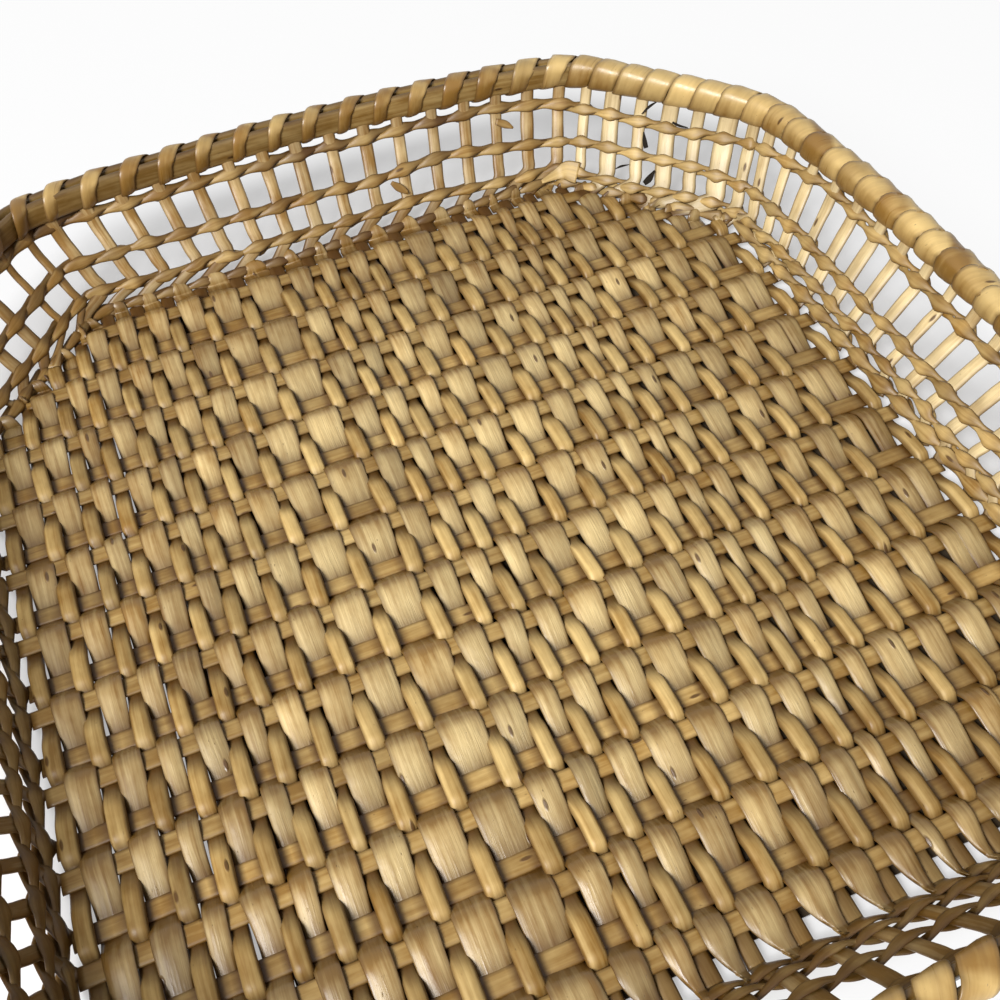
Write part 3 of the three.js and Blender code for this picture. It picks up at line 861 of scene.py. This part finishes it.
# How wide a splint is to either side along one pair, from under the second weft of the pair behind
SPLINT_PHASES = (0, 0.08, 0.13, 0.20, 0.30, 0.40, 0.60, 0.70, 0.80, 0.89, 1)
SPLINT_LEFT_SHARES = (0.98, 0.99, 1.02, 1.03, 1.01, 0.99, 0.95, 0.92, 0.89, 0.88, 0.96)
SPLINT_RIGHT_SHARES = (0.95, 0.94, 0.97, 1.00, 1.01, 1.01, 0.98, 0.95, 0.91, 0.89, 0.94)
SPLINT_SKINS = (0, 0, 0, 0.02, 0.08, 0.6, 0.92, 0.98, 0.98, 0.95, 0.5)
SPLINT_RISE_PHASES = (0, 0.10, 0.17, 0.26, 0.33, 0.41, 0.66, 0.87, 0.92, 1)
SPLINT_RISES = (0, 0.03, 0.36, 0.86, 0.98, 1, 0.54, 0.12, 0.03, 0)
SPLINT_CROWN_PHASES = (0, 0.30, 0.50, 0.90, 1)
SPLINT_CROWNS = (0.0003, 0.0003, 0.0009, 0.0007, 0.0003)
# Tone along one pair: the far slope is darker, partly its own colour, partly painted shade
SPLINT_TONE_PHASES = (0, 0.30, 0.40, 1)
SPLINT_TONES = (-0.4, -0.4, 0.12, 0.12)

# Height, distance inward from the wall, and half widths as shares, along a tongue
TONGUE_BACK = ((0.0048, 0.0016, 0.72, 0.70), (0.0066, 0.0008, 0.50, 0.48), (0.0074, -0.0006, 0.15, 0.15))
TONGUE_FRONT = ((0.0056, 0.0012, -0.45, 0.92), (0.0076, 0.0006, -0.68, 0.80))
TONGUE_WIDTH_STRAY = 0.0002
# How much darker a tongue is
TONGUE_DARKENING = 0.1

splint_wood = willow("splint_wood", fibre=0.8, polish=0.7, bump=0.0005, pale=SPLINT_PALE)
splint_section = flat_section(points=26, roundness=0.35)


def tongue(edge_row, across, half, sign, rng):
    """Stations of a splint's pointed end, which is tucked under the lowest twined row."""
    wall, share = wall_end(0, across, sign)
    rows = [edge_row]
    for height, inward_by, left, right in TONGUE_BACK if sign > 0 else TONGUE_FRONT:
        here, _, _, inward = wall_frame(wall, share, height)
        row = edge_row.copy()
        row[PLACE] = here + inward * inward_by
        row[LEFT] = half * left + rng.normal() * TONGUE_WIDTH_STRAY
        row[RIGHT] = half * right + rng.normal() * TONGUE_WIDTH_STRAY
        row[DIRT_AND_SHADE] = TONGUE_DARKENING
        rows.append(row)
    line = smooth_line(rows, STATION_STEP)[1:]
    return line if sign > 0 else line[::-1]


def at_either_edge(run, values):
    """A value for the edge of the base that is nearer, front or back, along a run."""
    return np.where(run > 0, values["back"], values["front"])


for number in range(1, SPLINT_COUNT + 1):
    node = f"wide_splint_{number:02d}"
    low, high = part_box(node)
    across, full_width = (low.x + high.x) / 2, (high.x - low.x) * SPLINT_SPREAD_SHARE
    full_width *= 1 - SPLINT_SLIM * np.clip((across - SLIM_FROM) / SLIM_RUN, 0, 1)
    rng = np.random.default_rng(SPLINT_SEED + number)
    run = base_run(0, across, STATION_STEP)
    count = len(run)
    pair, phase = phased(run, weft_places[1][0], rng)
    at_edge = np.clip((np.abs(run) - np.abs(run[0])) / SPLINT_EDGE_RUN + 1, 0, 1)
    at_edge = at_edge * at_edge * (3 - 2 * at_edge)
    risen = np.interp(phase, SPLINT_RISE_PHASES, SPLINT_RISES)
    risen = risen * (1 - at_edge) + at_either_edge(run, EDGE_RISES) * at_edge
    sway = drift(rng, count, spacing=16, width=4)
    each = rng.normal(size=(PAIR_COUNT + 3, 5))[pair + 1]
    rows = np.zeros((count, COLUMNS))
    rows[:, X] = across + sway[:, 0] * SPLINT_SWAY + each[:, 0] * SPLINT_SHIFT
    rows[:, Y] = run
    rise = (SPLINT_HIGH - SPLINT_LOW) * risen * (1 + each[:, 1] * SPLINT_RISE_STRAY)
    rows[:, Z] = WEAVE_HEIGHT + SPLINT_LOW + rise
    rows[:, SIDE_X] = 1
    for side, shares, column in ((LEFT, SPLINT_LEFT_SHARES, 1), (RIGHT, SPLINT_RIGHT_SHARES, 2)):
        spread = np.interp(phase, SPLINT_PHASES, shares) * (1 - at_edge) + SPLINT_EDGE_SHARE * at_edge
        rows[:, side] = full_width / 2 * spread * (1 + sway[:, column] * SPLINT_WIDTH_STRAY)
    cut = np.clip((run[0] + SPLINT_CUT_RUN - run) / SPLINT_CUT_RUN, 0, 1)
    if number == SIDE_BY_SIDE[0]:
        rows[:, RIGHT] *= SIDE_BY_SIDE_SHARE
    if number == SIDE_BY_SIDE[1]:
        rows[:, LEFT] *= SIDE_BY_SIDE_SHARE
    rows[:, LEFT] *= 1 - SPLINT_CUT_DEPTH_SHARE * cut ** SPLINT_CUT_POWER
    rows[:, THICK] = SPLINT_THICKNESS
    rows[:, CROWN] = np.interp(phase, SPLINT_CROWN_PHASES, SPLINT_CROWNS)
    rows[:, LEAN] = each[:, 2] * SPLINT_LEAN_STRAY
    rows[:, TONE] = rng.normal() * SPLINT_TONE_STRAYS[0] + each[:, 3] * SPLINT_TONE_STRAYS[1]
    # Far slope darker: partly its own colour, partly painted shade
    rows[:, TONE] += np.interp(phase, SPLINT_TONE_PHASES, SPLINT_TONES)
    # Painted shade on the tongues at the front and back edges of the base
    rows[:, TONE] -= at_either_edge(run, BASE_EDGE_SHADE_TONE_LOSSES) * at_edge
    rows[:, SKIN] = np.interp(phase, SPLINT_PHASES, SPLINT_SKINS)
    rows[:, SKIN] *= 1 - at_either_edge(run, BASE_EDGE_SHADE_SKIN_LOSSES) * at_edge
    rows[:, SKIN] += each[:, 4] * SPLINT_SKIN_STRAY
    # Painted shade where the splint dips under a weft, less of it at the edge of the base
    rows[:, DIRT_AND_SHADE] = (1 - risen) ** SPLINT_SHADE_POWER * (1 - BASE_EDGE_SHADE_LOSS * at_edge)
    shade_and_brown(rows)
    half = full_width / 2
    front, back = tongue(rows[0], across, half, -1, rng), tongue(rows[-1], across, half, 1, rng)
    bundle = Bundle()
    bundle.add(np.vstack([front, rows, back]), splint_section, rng, relief=SPLINT_RELIEF)
    bundle.make(f"splint_{number:02d}_blade", splint_wood, "wide_splint", [node])


# Twined rows. Four rows of two thin strands each, twisted half a turn between uprights, so that
# one strand passes inside and the other outside of each upright. The lowest binds the base's edge.

# Height of each row at a few places round the walls, given as numbers of walls gone round
ROW_LINES = (
    ((0, 0.0066), (0.5, 0.0066), (0.95, 0.0070), (1.3, 0.0064), (1.95, 0.0058), (2.2, 0.0046),
     (2.9, 0.0046), (3.2, 0.0058), (4, 0.0060), (7, 0.0064)),
    ((0, 0.0100), (0.4, 0.0110), (0.75, 0.0124), (1, 0.0103), (1.25, 0.0114), (1.5, 0.0102), (2.1, 0.0104),
     (2.3, 0.0130), (2.45, 0.0119), (2.85, 0.0117), (3, 0.0132), (4, 0.0120), (6, 0.0118)),
    ((0, 0.0205), (0.5, 0.0203), (0.9, 0.0215), (1.02, 0.0208), (1.2, 0.0228), (1.8, 0.0232), (2, 0.0220),
     (2.25, 0.0266), (2.4, 0.0239), (2.8, 0.0245), (3, 0.0262), (4, 0.0235), (6, 0.0225)),
    ((0, 0.0382), (0.5, 0.0380), (0.8, 0.0415), (1, 0.0372), (1.5, 0.0353), (1.95, 0.0363), (2.15, 0.0405),
     (2.5, 0.0402), (2.85, 0.0416), (2.95, 0.0434), (4, 0.0400), (6, 0.0390)),
)
# Brown stains, each as the row it is on, where it lies round the walls and how far it reaches
ROW_STAINS = (
    (3, 2.26, 0.05), (3, 2.50, 0.06), (3, 2.97, 0.06),
    (0, 1.50, 0.14), (0, 1.10, 0.14), (0, 2.5, 0.5),
)
STAIN_DIRT = 0.6
# Painted shade where a strand passes behind an upright, and how pale and how dark the rows are in
# each wall: partly their own colour and dirt, partly painted light, paler on the lit right walls
# and darker on the shaded walls round the left and front
HIDDEN_SHADE = 0.35
ROW_SKINS = (0.40, 0.62, 0.28, 0.12, 0.2, 0.15, 0.12, 0.3)
ROW_DIRTS_AND_SHADES = (0.05, 0.03, 0.20, 0.22, 0.2, 0.25, 0.25, 0.12)
ROW_WIDTH_SHARES = (1, 0.88, 0.95, 1)
FOOT_ROW_SHARES = (1.12, 0.9, 0.72, 0.85, 0.9, 0.9, 0.9, 1)
STRAND_WIDTHS = (0.0070, 0.0066, 0.0066, 0.0066, 0.0074, 0.0072, 0.0070, 0.0066)
STRAND_NECK_SHARES = (0.34, 0.36, 0.46, 0.50, 0.55, 0.50, 0.50, 0.42)
STRAND_THICKNESS = 0.0011
STRAND_CROWN = 0.0003
STRAND_OUT = 0.0018
STRAND_TWIST = 0.0007
STRAND_TILT = 0.45
# Four steps of a strand from one upright to the next: how far on, how far out and up, and how wide
STRAND_STEP_SHARES = ((0, 1, 0, 1), (0.25, 0.75, -0.5, 0.52), (0.5, 0, -1, 0), (0.75, -0.75, -0.5, 0.52))
# How strands stray in height, and in width, tone and skin from upright to upright
STRAND_HEAVE = 0.0003
STRAND_WIDTH_STRAY = 0.08
STRAND_TONE_STRAY = 0.4
STRAND_SKIN_STRAY = 0.15
ROW_SEED = 400
ROW_RELIEF = 0.00005

row_wood = willow("row_wood", fibre=0.45, polish=0.35, bump=0.0003, shade=0.95)
row_section = flat_section(points=10, roundness=0.75)


def stain_at(row_number, stand):
    """How deep the deepest stain is at a place on a row, from 0 to 1."""
    stains = [(place, reach) for number, place, reach in ROW_STAINS if number == row_number]
    return max((np.exp(-((stand - place) / reach) ** 2) for place, reach in stains), default=0)


for row_number, row_line in enumerate(ROW_LINES):
    bundle = Bundle()
    line_places, line_heights = zip(*row_line)
    around = [upright_at(end, np.mean(line_heights)) for end in ends]
    around.append(around[0] + WALL_COUNT)
    for strand in (0, 1):
        rng = np.random.default_rng(ROW_SEED + row_number * 2 + strand)
        rows = []
        for number, (at, following) in enumerate(zip(around, around[1:])):
            inside = 1 if (number + strand) % 2 else -1
            heave = rng.normal() * STRAND_HEAVE
            leaf = 1 + rng.normal() * STRAND_WIDTH_STRAY
            tone = rng.normal() * STRAND_TONE_STRAY
            skin_stray = rng.normal() * STRAND_SKIN_STRAY
            for part, out, twist, width in STRAND_STEP_SHARES:
                stand = at + (following - at) * part
                height = np.interp(stand, line_places, line_heights, period=WALL_COUNT)
                height += heave + STRAND_TWIST * twist * inside
                here, along, up, inward = ring_frame(stand, height)
                place = here + inward * STRAND_OUT * out * inside
                tilt = up + along * STRAND_TILT * inside * (1 if part < 0.5 else -1)
                neck = between_walls(STRAND_NECK_SHARES, stand)
                full = between_walls(STRAND_WIDTHS, stand) * ROW_WIDTH_SHARES[row_number]
                if row_number == 0:
                    full *= between_walls(FOOT_ROW_SHARES, stand)
                wide = full * (neck + (1 - neck) * width * leaf)
                row = station(place, tilt, wide, STRAND_THICKNESS, STRAND_CROWN)
                row[TONE] = tone
                row[SKIN] = between_walls(ROW_SKINS, stand) + skin_stray
                dirt_and_shade = between_walls(ROW_DIRTS_AND_SHADES, stand) + STAIN_DIRT * stain_at(row_number, stand)
                # Painted shade on a strand's stretch behind an upright
                row[DIRT_AND_SHADE] = dirt_and_shade + HIDDEN_SHADE * (inside < 0)
                rows.append(row)
        line = smooth_line(rows, STATION_STEP, ring=True)
        bundle.add(line, row_section, rng, relief=ROW_RELIEF, ring=True)
    bundle.make(f"twined_row_{row_number + 1}", row_wood, "wall_stakes", [])


# Loose ends. One strand ends in a broad fold in the back right corner, two ends are frayed at the
# back, and a few dark slivers of bark are caught between the corner's uprights.
LOOSE_IN = 0.0030
LOOSE_THICKNESS = 0.0006
LOOSE_TILT = 0.3
LOOSE_SEED = 450
BARK_COLOUR = (0.02, 0.016, 0.012, 1)
BARK_ROUGHNESS = 0.9
BARK_GLOSS = 0.1
# For each, its skin and how much darker it is, where 1 marks a sliver of bark, then its places
# round the walls with height and width
LOOSE_ENDS = (
    (0.8, 0.0, (
        (2.03, 0.0062, 0.002), (1.98, 0.0085, 0.006), (1.93, 0.0105, 0.010), (1.865, 0.0105, 0.011))),
    (0.1, 0.45, (
        (2.362, 0.0215, 0.002), (2.350, 0.0192, 0.0042), (2.338, 0.0172, 0.0032), (2.332, 0.0158, 0.0008))),
    (0.1, 0.55, ((2.140, 0.0350, 0.003), (2.120, 0.0330, 0.004), (2.104, 0.0310, 0.001))),
    (0, 1, ((1.590, 0.0385, 0.0004), (1.558, 0.0420, 0.0014), (1.525, 0.0445, 0.0004))),
    (0, 1, ((1.430, 0.0379, 0.0010), (1.390, 0.0372, 0.0012), (1.350, 0.0372, 0.0005))),
    (0, 1, ((1.560, 0.0320, 0.0006), (1.545, 0.0285, 0.0024), (1.530, 0.0262, 0.0022))),
    (0, 1, ((1.665, 0.0156, 0.0004), (1.640, 0.0170, 0.0012), (1.600, 0.0184, 0.0004))),
    (0, 1, ((1.500, 0.0125, 0.0024), (1.478, 0.0150, 0.0034), (1.462, 0.0185, 0.0006))),
)

bark = bpy.data.materials.new("bark")
bark.use_nodes = True
bark_shader = bark.node_tree.nodes["Principled BSDF"]
bark_shader.inputs["Base Color"].default_value = BARK_COLOUR
bark_shader.inputs["Roughness"].default_value = BARK_ROUGHNESS
bark_shader.inputs["Specular IOR Level"].default_value = BARK_GLOSS
loose, slivers = Bundle(), Bundle()
rng = np.random.default_rng(LOOSE_SEED)
for skin, dirt_and_shade, places in LOOSE_ENDS:
    rows = []
    for stand, height, width in places:
        here, along, up, inward = ring_frame(stand, height)
        tilt = up + along * LOOSE_TILT
        row = station(here + inward * LOOSE_IN, tilt, width, LOOSE_THICKNESS, STRAND_CROWN)
        row[SKIN], row[DIRT_AND_SHADE] = skin, dirt_and_shade
        rows.append(row)
    bundle = slivers if dirt_and_shade == 1 else loose
    bundle.add(smooth_line(rows, STATION_STEP), row_section, rng, relief=ROW_RELIEF)
loose.make("loose_ends", row_wood, "wall_stakes", [])
slivers.make("bark_slivers", bark, "wall_stakes", [])


# Rim laths. Two flat laths bent into hoops, one inside and one outside the uprights' ends, with
# their broad faces upright and their edges rounded off with a knife.
LATH_THICKNESS = 0.0038
LATH_OUT = 0.0028
LATH_SEED = 500
LATH_RELIEF = 0.00005
LATH_HEAVE = 0.0002
LATH_TONE_STRAY = 0.3
# A lath is given at this step round the walls, and laid as a line with this one
LATH_WALL_STEP_SHARE = 0.125
LATH_STATION_STEP = 0.003
# Its skin is palest at one place round the walls and darkest on the far side
LATH_SKIN = 0.2
LATH_SKIN_SWING = 0.3
LATH_PALEST = 0.8
# Heights of the rim's top and of its underside in each wall
RIM_TOPS = (0.0580, 0.0582, 0.0582, 0.0586, 0.0582, 0.0580, 0.0576, 0.0576)
RIM_LOWS = (0.0466, 0.0462, 0.0460, 0.0462, 0.0466, 0.0466, 0.0468, 0.0468)

lath_wood = willow("lath_wood", fibre=0.6, polish=0.6, bump=0.0003, shade=0.66)
lath_section = flat_section(points=16, roundness=0.65)


def rim_frame(at):
    """Place on the rim's middle line in plan, along and inward, for a number of walls gone round."""
    wall, share = int(at) % WALL_COUNT, at - int(at)
    place = rim_point(wall, share)
    ahead, behind = (at + NEARBY_SHARE) % WALL_COUNT, (at - NEARBY_SHARE) % WALL_COUNT
    along = rim_point(int(ahead), ahead - int(ahead)) - rim_point(int(behind), behind - int(behind))
    along = along / np.linalg.norm(along)
    return np.append(place, 0), np.append(along, 0), np.array([-along[1], along[0], 0])


for name, out in (("rim_inner_lath", LATH_OUT), ("rim_outer_lath", -LATH_OUT)):
    rng = np.random.default_rng(LATH_SEED + (out > 0))
    rows = []
    for at in np.arange(0, WALL_COUNT, LATH_WALL_STEP_SHARE):
        place, _, inward = rim_frame(at)
        low = between_walls(RIM_LOWS, at)
        top = between_walls(RIM_TOPS, at)
        place = place + inward * out + np.array([0, 0, (low + top) / 2 + rng.normal() * LATH_HEAVE])
        side = np.array([0, 0, 1.0 if out < 0 else -1.0])
        row = station(place, side, top - low, LATH_THICKNESS)
        row[TONE] = rng.normal() * LATH_TONE_STRAY
        row[SKIN] = LATH_SKIN + LATH_SKIN_SWING * np.cos(2 * np.pi * (at - LATH_PALEST) / WALL_COUNT)
        rows.append(row)
    bundle = Bundle()
    line = smooth_line(rows, LATH_STATION_STEP, ring=True)
    bundle.add(line, lath_section, rng, relief=LATH_RELIEF, ring=True)
    bundle.make(f"{name}_wood", lath_wood, "rim_lath", [name])


# Rim lashing. One long, glossy splint wound round both laths. Along the back it leaves bare lath
# between its turns; elsewhere each turn overlaps the one before.
LASHING_THICKNESS = 0.0008
# Width of the turns in each wall, and how pale they are
LASHING_WIDTHS = (0.0134, 0.0143, 0.0068, 0.0085, 0.0100, 0.0100, 0.0100, 0.0120)
LASHING_SKINS = (0.08, 0.95, -0.35, -0.15, -0.1, -0.1, -0.1, 0.05)
LASHING_CROWN = 0.0008
LASHING_LEAN = 0.0005
# How much paler a turn is on top of the rim, a painted sheen, and how much darker toward its
# underside, painted shade
LASHING_TOP_SHEEN = 0.36
LASHING_LOW_SHADE = 0.1
LASHING_OUT = 0.0054
LASHING_PROUD = 0.0006
# Pitch of the turns in each wall, and how far they slant along the rim, as a share of it
LASHING_PITCHES = (0.0136, 0.0132, 0.0182, 0.0165, 0.0150, 0.0145, 0.0145, 0.0138)
LASHING_LEAD_SHARES = (0.14, -0.04, 0.14, 0.14, 0.14, 0.14, 0.14, 0.14)
LASHING_LEAD_PHASE = 0.6
LASHING_STEPS = 16
LASHING_SEED = 600
# How square a turn bends round the laths: 1 is an oval
LASHING_ROUNDNESS = 0.75
# How turns differ in pitch, width, tone and skin
LASHING_PITCH_STRAY = 0.04
LASHING_WIDTH_STRAY = 0.05
LASHING_WOOD_STRAYS = (0.22, 0.26)
# The last turn takes up what is left of the rim, below this many pitches
LAST_TURN_SHARE = 1.4
RIM_SAMPLES = 800

lashing_wood = willow("lashing_wood", fibre=0.1, polish=0.7, bump=0.0001, shade=0.97)
lashing_section = flat_section(points=14, roundness=0.4)
rim_ats = np.linspace(0, WALL_COUNT, RIM_SAMPLES + 1)
rim_line = np.array([rim_point(int(at) % WALL_COUNT, at - int(at)) for at in rim_ats])
rim_runs = np.append(0, np.cumsum(np.linalg.norm(np.diff(rim_line, axis=0), axis=1)))
rng = np.random.default_rng(LASHING_SEED)
rows = []
run = 0.0
while run < rim_runs[-1]:
    at = np.interp(run, rim_runs, rim_ats)
    step = LASHING_PITCHES[int(at)] * (1 + rng.normal() * LASHING_PITCH_STRAY)
    if run + step * LAST_TURN_SHARE > rim_runs[-1]:
        step = rim_runs[-1] - run
    wide = between_walls(LASHING_WIDTHS, at) * (1 + rng.normal() * LASHING_WIDTH_STRAY)
    tone, skin_stray = rng.normal(size=2) * LASHING_WOOD_STRAYS
    for part in np.arange(LASHING_STEPS) / LASHING_STEPS:
        angle = 2 * np.pi * part
        lead = part + between_walls(LASHING_LEAD_SHARES, at) * np.sin(angle + LASHING_LEAD_PHASE)
        stand = np.interp((run + step * lead) % rim_runs[-1], rim_runs, rim_ats) % WALL_COUNT
        place, along, inward = rim_frame(stand)
        low = between_walls(RIM_LOWS, stand)
        top = between_walls(RIM_TOPS, stand)
        inside, high = np.sin(angle), np.cos(angle)
        inside = np.sign(inside) * abs(inside) ** LASHING_ROUNDNESS
        high = np.sign(high) * abs(high) ** LASHING_ROUNDNESS
        here = place + inward * inside * LASHING_OUT
        rise = (top + low) / 2 + high * ((top - low) / 2 + LASHING_PROUD)
        here = here + np.array([0, 0, rise])
        row = station(here, along, wide, LASHING_THICKNESS, LASHING_CROWN, LASHING_LEAN)
        # Painted sheen on top of the rim, painted shade toward its underside
        top_sheen = LASHING_TOP_SHEEN * high
        row[TONE] = tone + top_sheen
        row[SKIN] = between_walls(LASHING_SKINS, at) + skin_stray + top_sheen
        row[DIRT_AND_SHADE] = LASHING_LOW_SHADE * (1 - high)
        rows.append(row)
    run += step
line = smooth_line(rows, STATION_STEP, ring=True)
bundle = Bundle()
bundle.add(line, lashing_section, rng, ring=True)
bundle.make("rim_lashing_splint", lashing_wood, "rim_lashing", ["rim_lashing"])


# Floor and light. A pale floor under the basket, with a painted shadow right under its base, and
# one broad soft lamp from the front left, with a weak even light from all round.
PAINTED_SHADOW_COLOUR = (0.06, 0.04, 0.02, 1)
OPEN_COLOUR = (0.93, 0.93, 0.94, 1)
FLOOR_ROUGHNESS = 0.9
# Rings of the pale floor, as shares of what the rim hides of it, and how white they are
FLOOR_RINGS = (0.88, 1, 12)
FLOOR_WHITES = (0.42, 0.42, 0.9, 1)
# The painted shadow ends this far inside the base's edge, and at this place on the left
PAINTED_SHADOW_INSET = 0.008
PAINTED_SHADOW_LEFT = -0.122
KEY_PLACE = Vector((-1.12, -0.82, 1.32))
KEY_SIZE = 0.9
KEY_POWER = 56
SKY_STRENGTH = 0.055


def background_ray(nodes, links):
    """One for a ray that shows the background, from the camera or by way of gloss or glass."""
    path = nodes.new("ShaderNodeLightPath")
    seen = path.outputs["Is Camera Ray"]
    for kind in ("Is Glossy Ray", "Is Transmission Ray"):
        either = nodes.new("ShaderNodeMath")
        either.operation = "MAXIMUM"
        links.new(seen, either.inputs[0])
        links.new(path.outputs[kind], either.inputs[1])
        seen = either.outputs[0]
    return seen


def scaled(nodes, links, value, low, high):
    between = nodes.new("ShaderNodeMapRange")
    between.inputs["To Min"].default_value = low
    between.inputs["To Max"].default_value = high
    links.new(value, between.inputs["Value"])
    return between.outputs["Result"]


def floor_paint(name, colour):
    paint = bpy.data.materials.new(name)
    paint.use_nodes = True
    paint.node_tree.nodes["Principled BSDF"].inputs["Base Color"].default_value = colour
    paint.node_tree.nodes["Principled BSDF"].inputs["Roughness"].default_value = FLOOR_ROUGHNESS
    return paint


# Right under the base the floor is painted dark, a painted shadow of the basket. Round it the pale
# floor grows to the plain white of the background before it comes out from behind the rim.
painted_shadow_paint = floor_paint("painted_shadow_floor_paint", PAINTED_SHADOW_COLOUR)
open_paint = floor_paint("open_floor_paint", OPEN_COLOUR)
nodes, links = open_paint.node_tree.nodes, open_paint.node_tree.links
whiteness = nodes.new("ShaderNodeVertexColor")
whiteness.layer_name = "whiteness"
share = nodes.new("ShaderNodeMath")
share.operation = "MULTIPLY"
links.new(background_ray(nodes, links), share.inputs[0])
links.new(whiteness.outputs["Color"], share.inputs[1])
white = nodes.new("ShaderNodeEmission")
mix = nodes.new("ShaderNodeMixShader")
links.new(share.outputs["Value"], mix.inputs["Fac"])
links.new(nodes["Principled BSDF"].outputs["BSDF"], mix.inputs[1])
links.new(white.outputs["Emission"], mix.inputs[2])
links.new(mix.outputs["Shader"], nodes["Material Output"].inputs["Surface"])

under = [(max(x, PAINTED_SHADOW_LEFT), y, 0) for x, y in eight_corners(base_half - PAINTED_SHADOW_INSET, cut_half)]
rim_height = (RIM_TOPS[0] + RIM_LOWS[0]) / 2
behind_rim = []
for x, y in rim_corners:
    ray = Vector((x, y, rim_height)) - CAMERA_PLACE
    spot = CAMERA_PLACE + ray * (CAMERA_PLACE.z / -ray.z)
    behind_rim.append((spot.x, spot.y, 0))
floor_points = under + [(x * ring, y * ring, 0) for ring in FLOOR_RINGS for x, y, _ in behind_rim]
floor_faces = [tuple(range(WALL_COUNT))]
for ring in range(len(FLOOR_RINGS)):
    inner, outer = ring * WALL_COUNT, (ring + 1) * WALL_COUNT
    for here, following in zip(range(WALL_COUNT), (*range(1, WALL_COUNT), 0)):
        floor_faces.append((here + inner, here + outer, following + outer, following + inner))
floor_mesh = bpy.data.meshes.new("floor")
floor_mesh.from_pydata(floor_points, [], floor_faces)
floor_whites = floor_mesh.color_attributes.new("whiteness", "FLOAT_COLOR", "POINT")
floor_whites.data.foreach_set("color", np.repeat(FLOOR_WHITES, WALL_COUNT * 4))
floor_mesh.materials.append(painted_shadow_paint)
floor_mesh.materials.append(open_paint)
for face in floor_mesh.polygons:
    face.material_index = min(face.index, 1)
floor = bpy.data.objects.new("floor", floor_mesh)
bpy.context.scene.collection.objects.link(floor)

key = bpy.data.objects.new("key_lamp", bpy.data.lights.new("key_lamp", "AREA"))
bpy.context.scene.collection.objects.link(key)
key.location = KEY_PLACE
key.rotation_euler = KEY_PLACE.to_track_quat("Z", "Y").to_euler()
key.data.size = KEY_SIZE
key.data.energy = KEY_POWER
world = bpy.data.worlds.new("even_light")
world.use_nodes = True
nodes, links = world.node_tree.nodes, world.node_tree.links
sky = nodes["Background"]
sky.inputs["Color"].default_value = (1, 1, 1, 1)
links.new(scaled(nodes, links, background_ray(nodes, links), SKY_STRENGTH, 1), sky.inputs["Strength"])
bpy.context.scene.world = world
bpy.context.scene.view_settings.view_transform = "Standard"
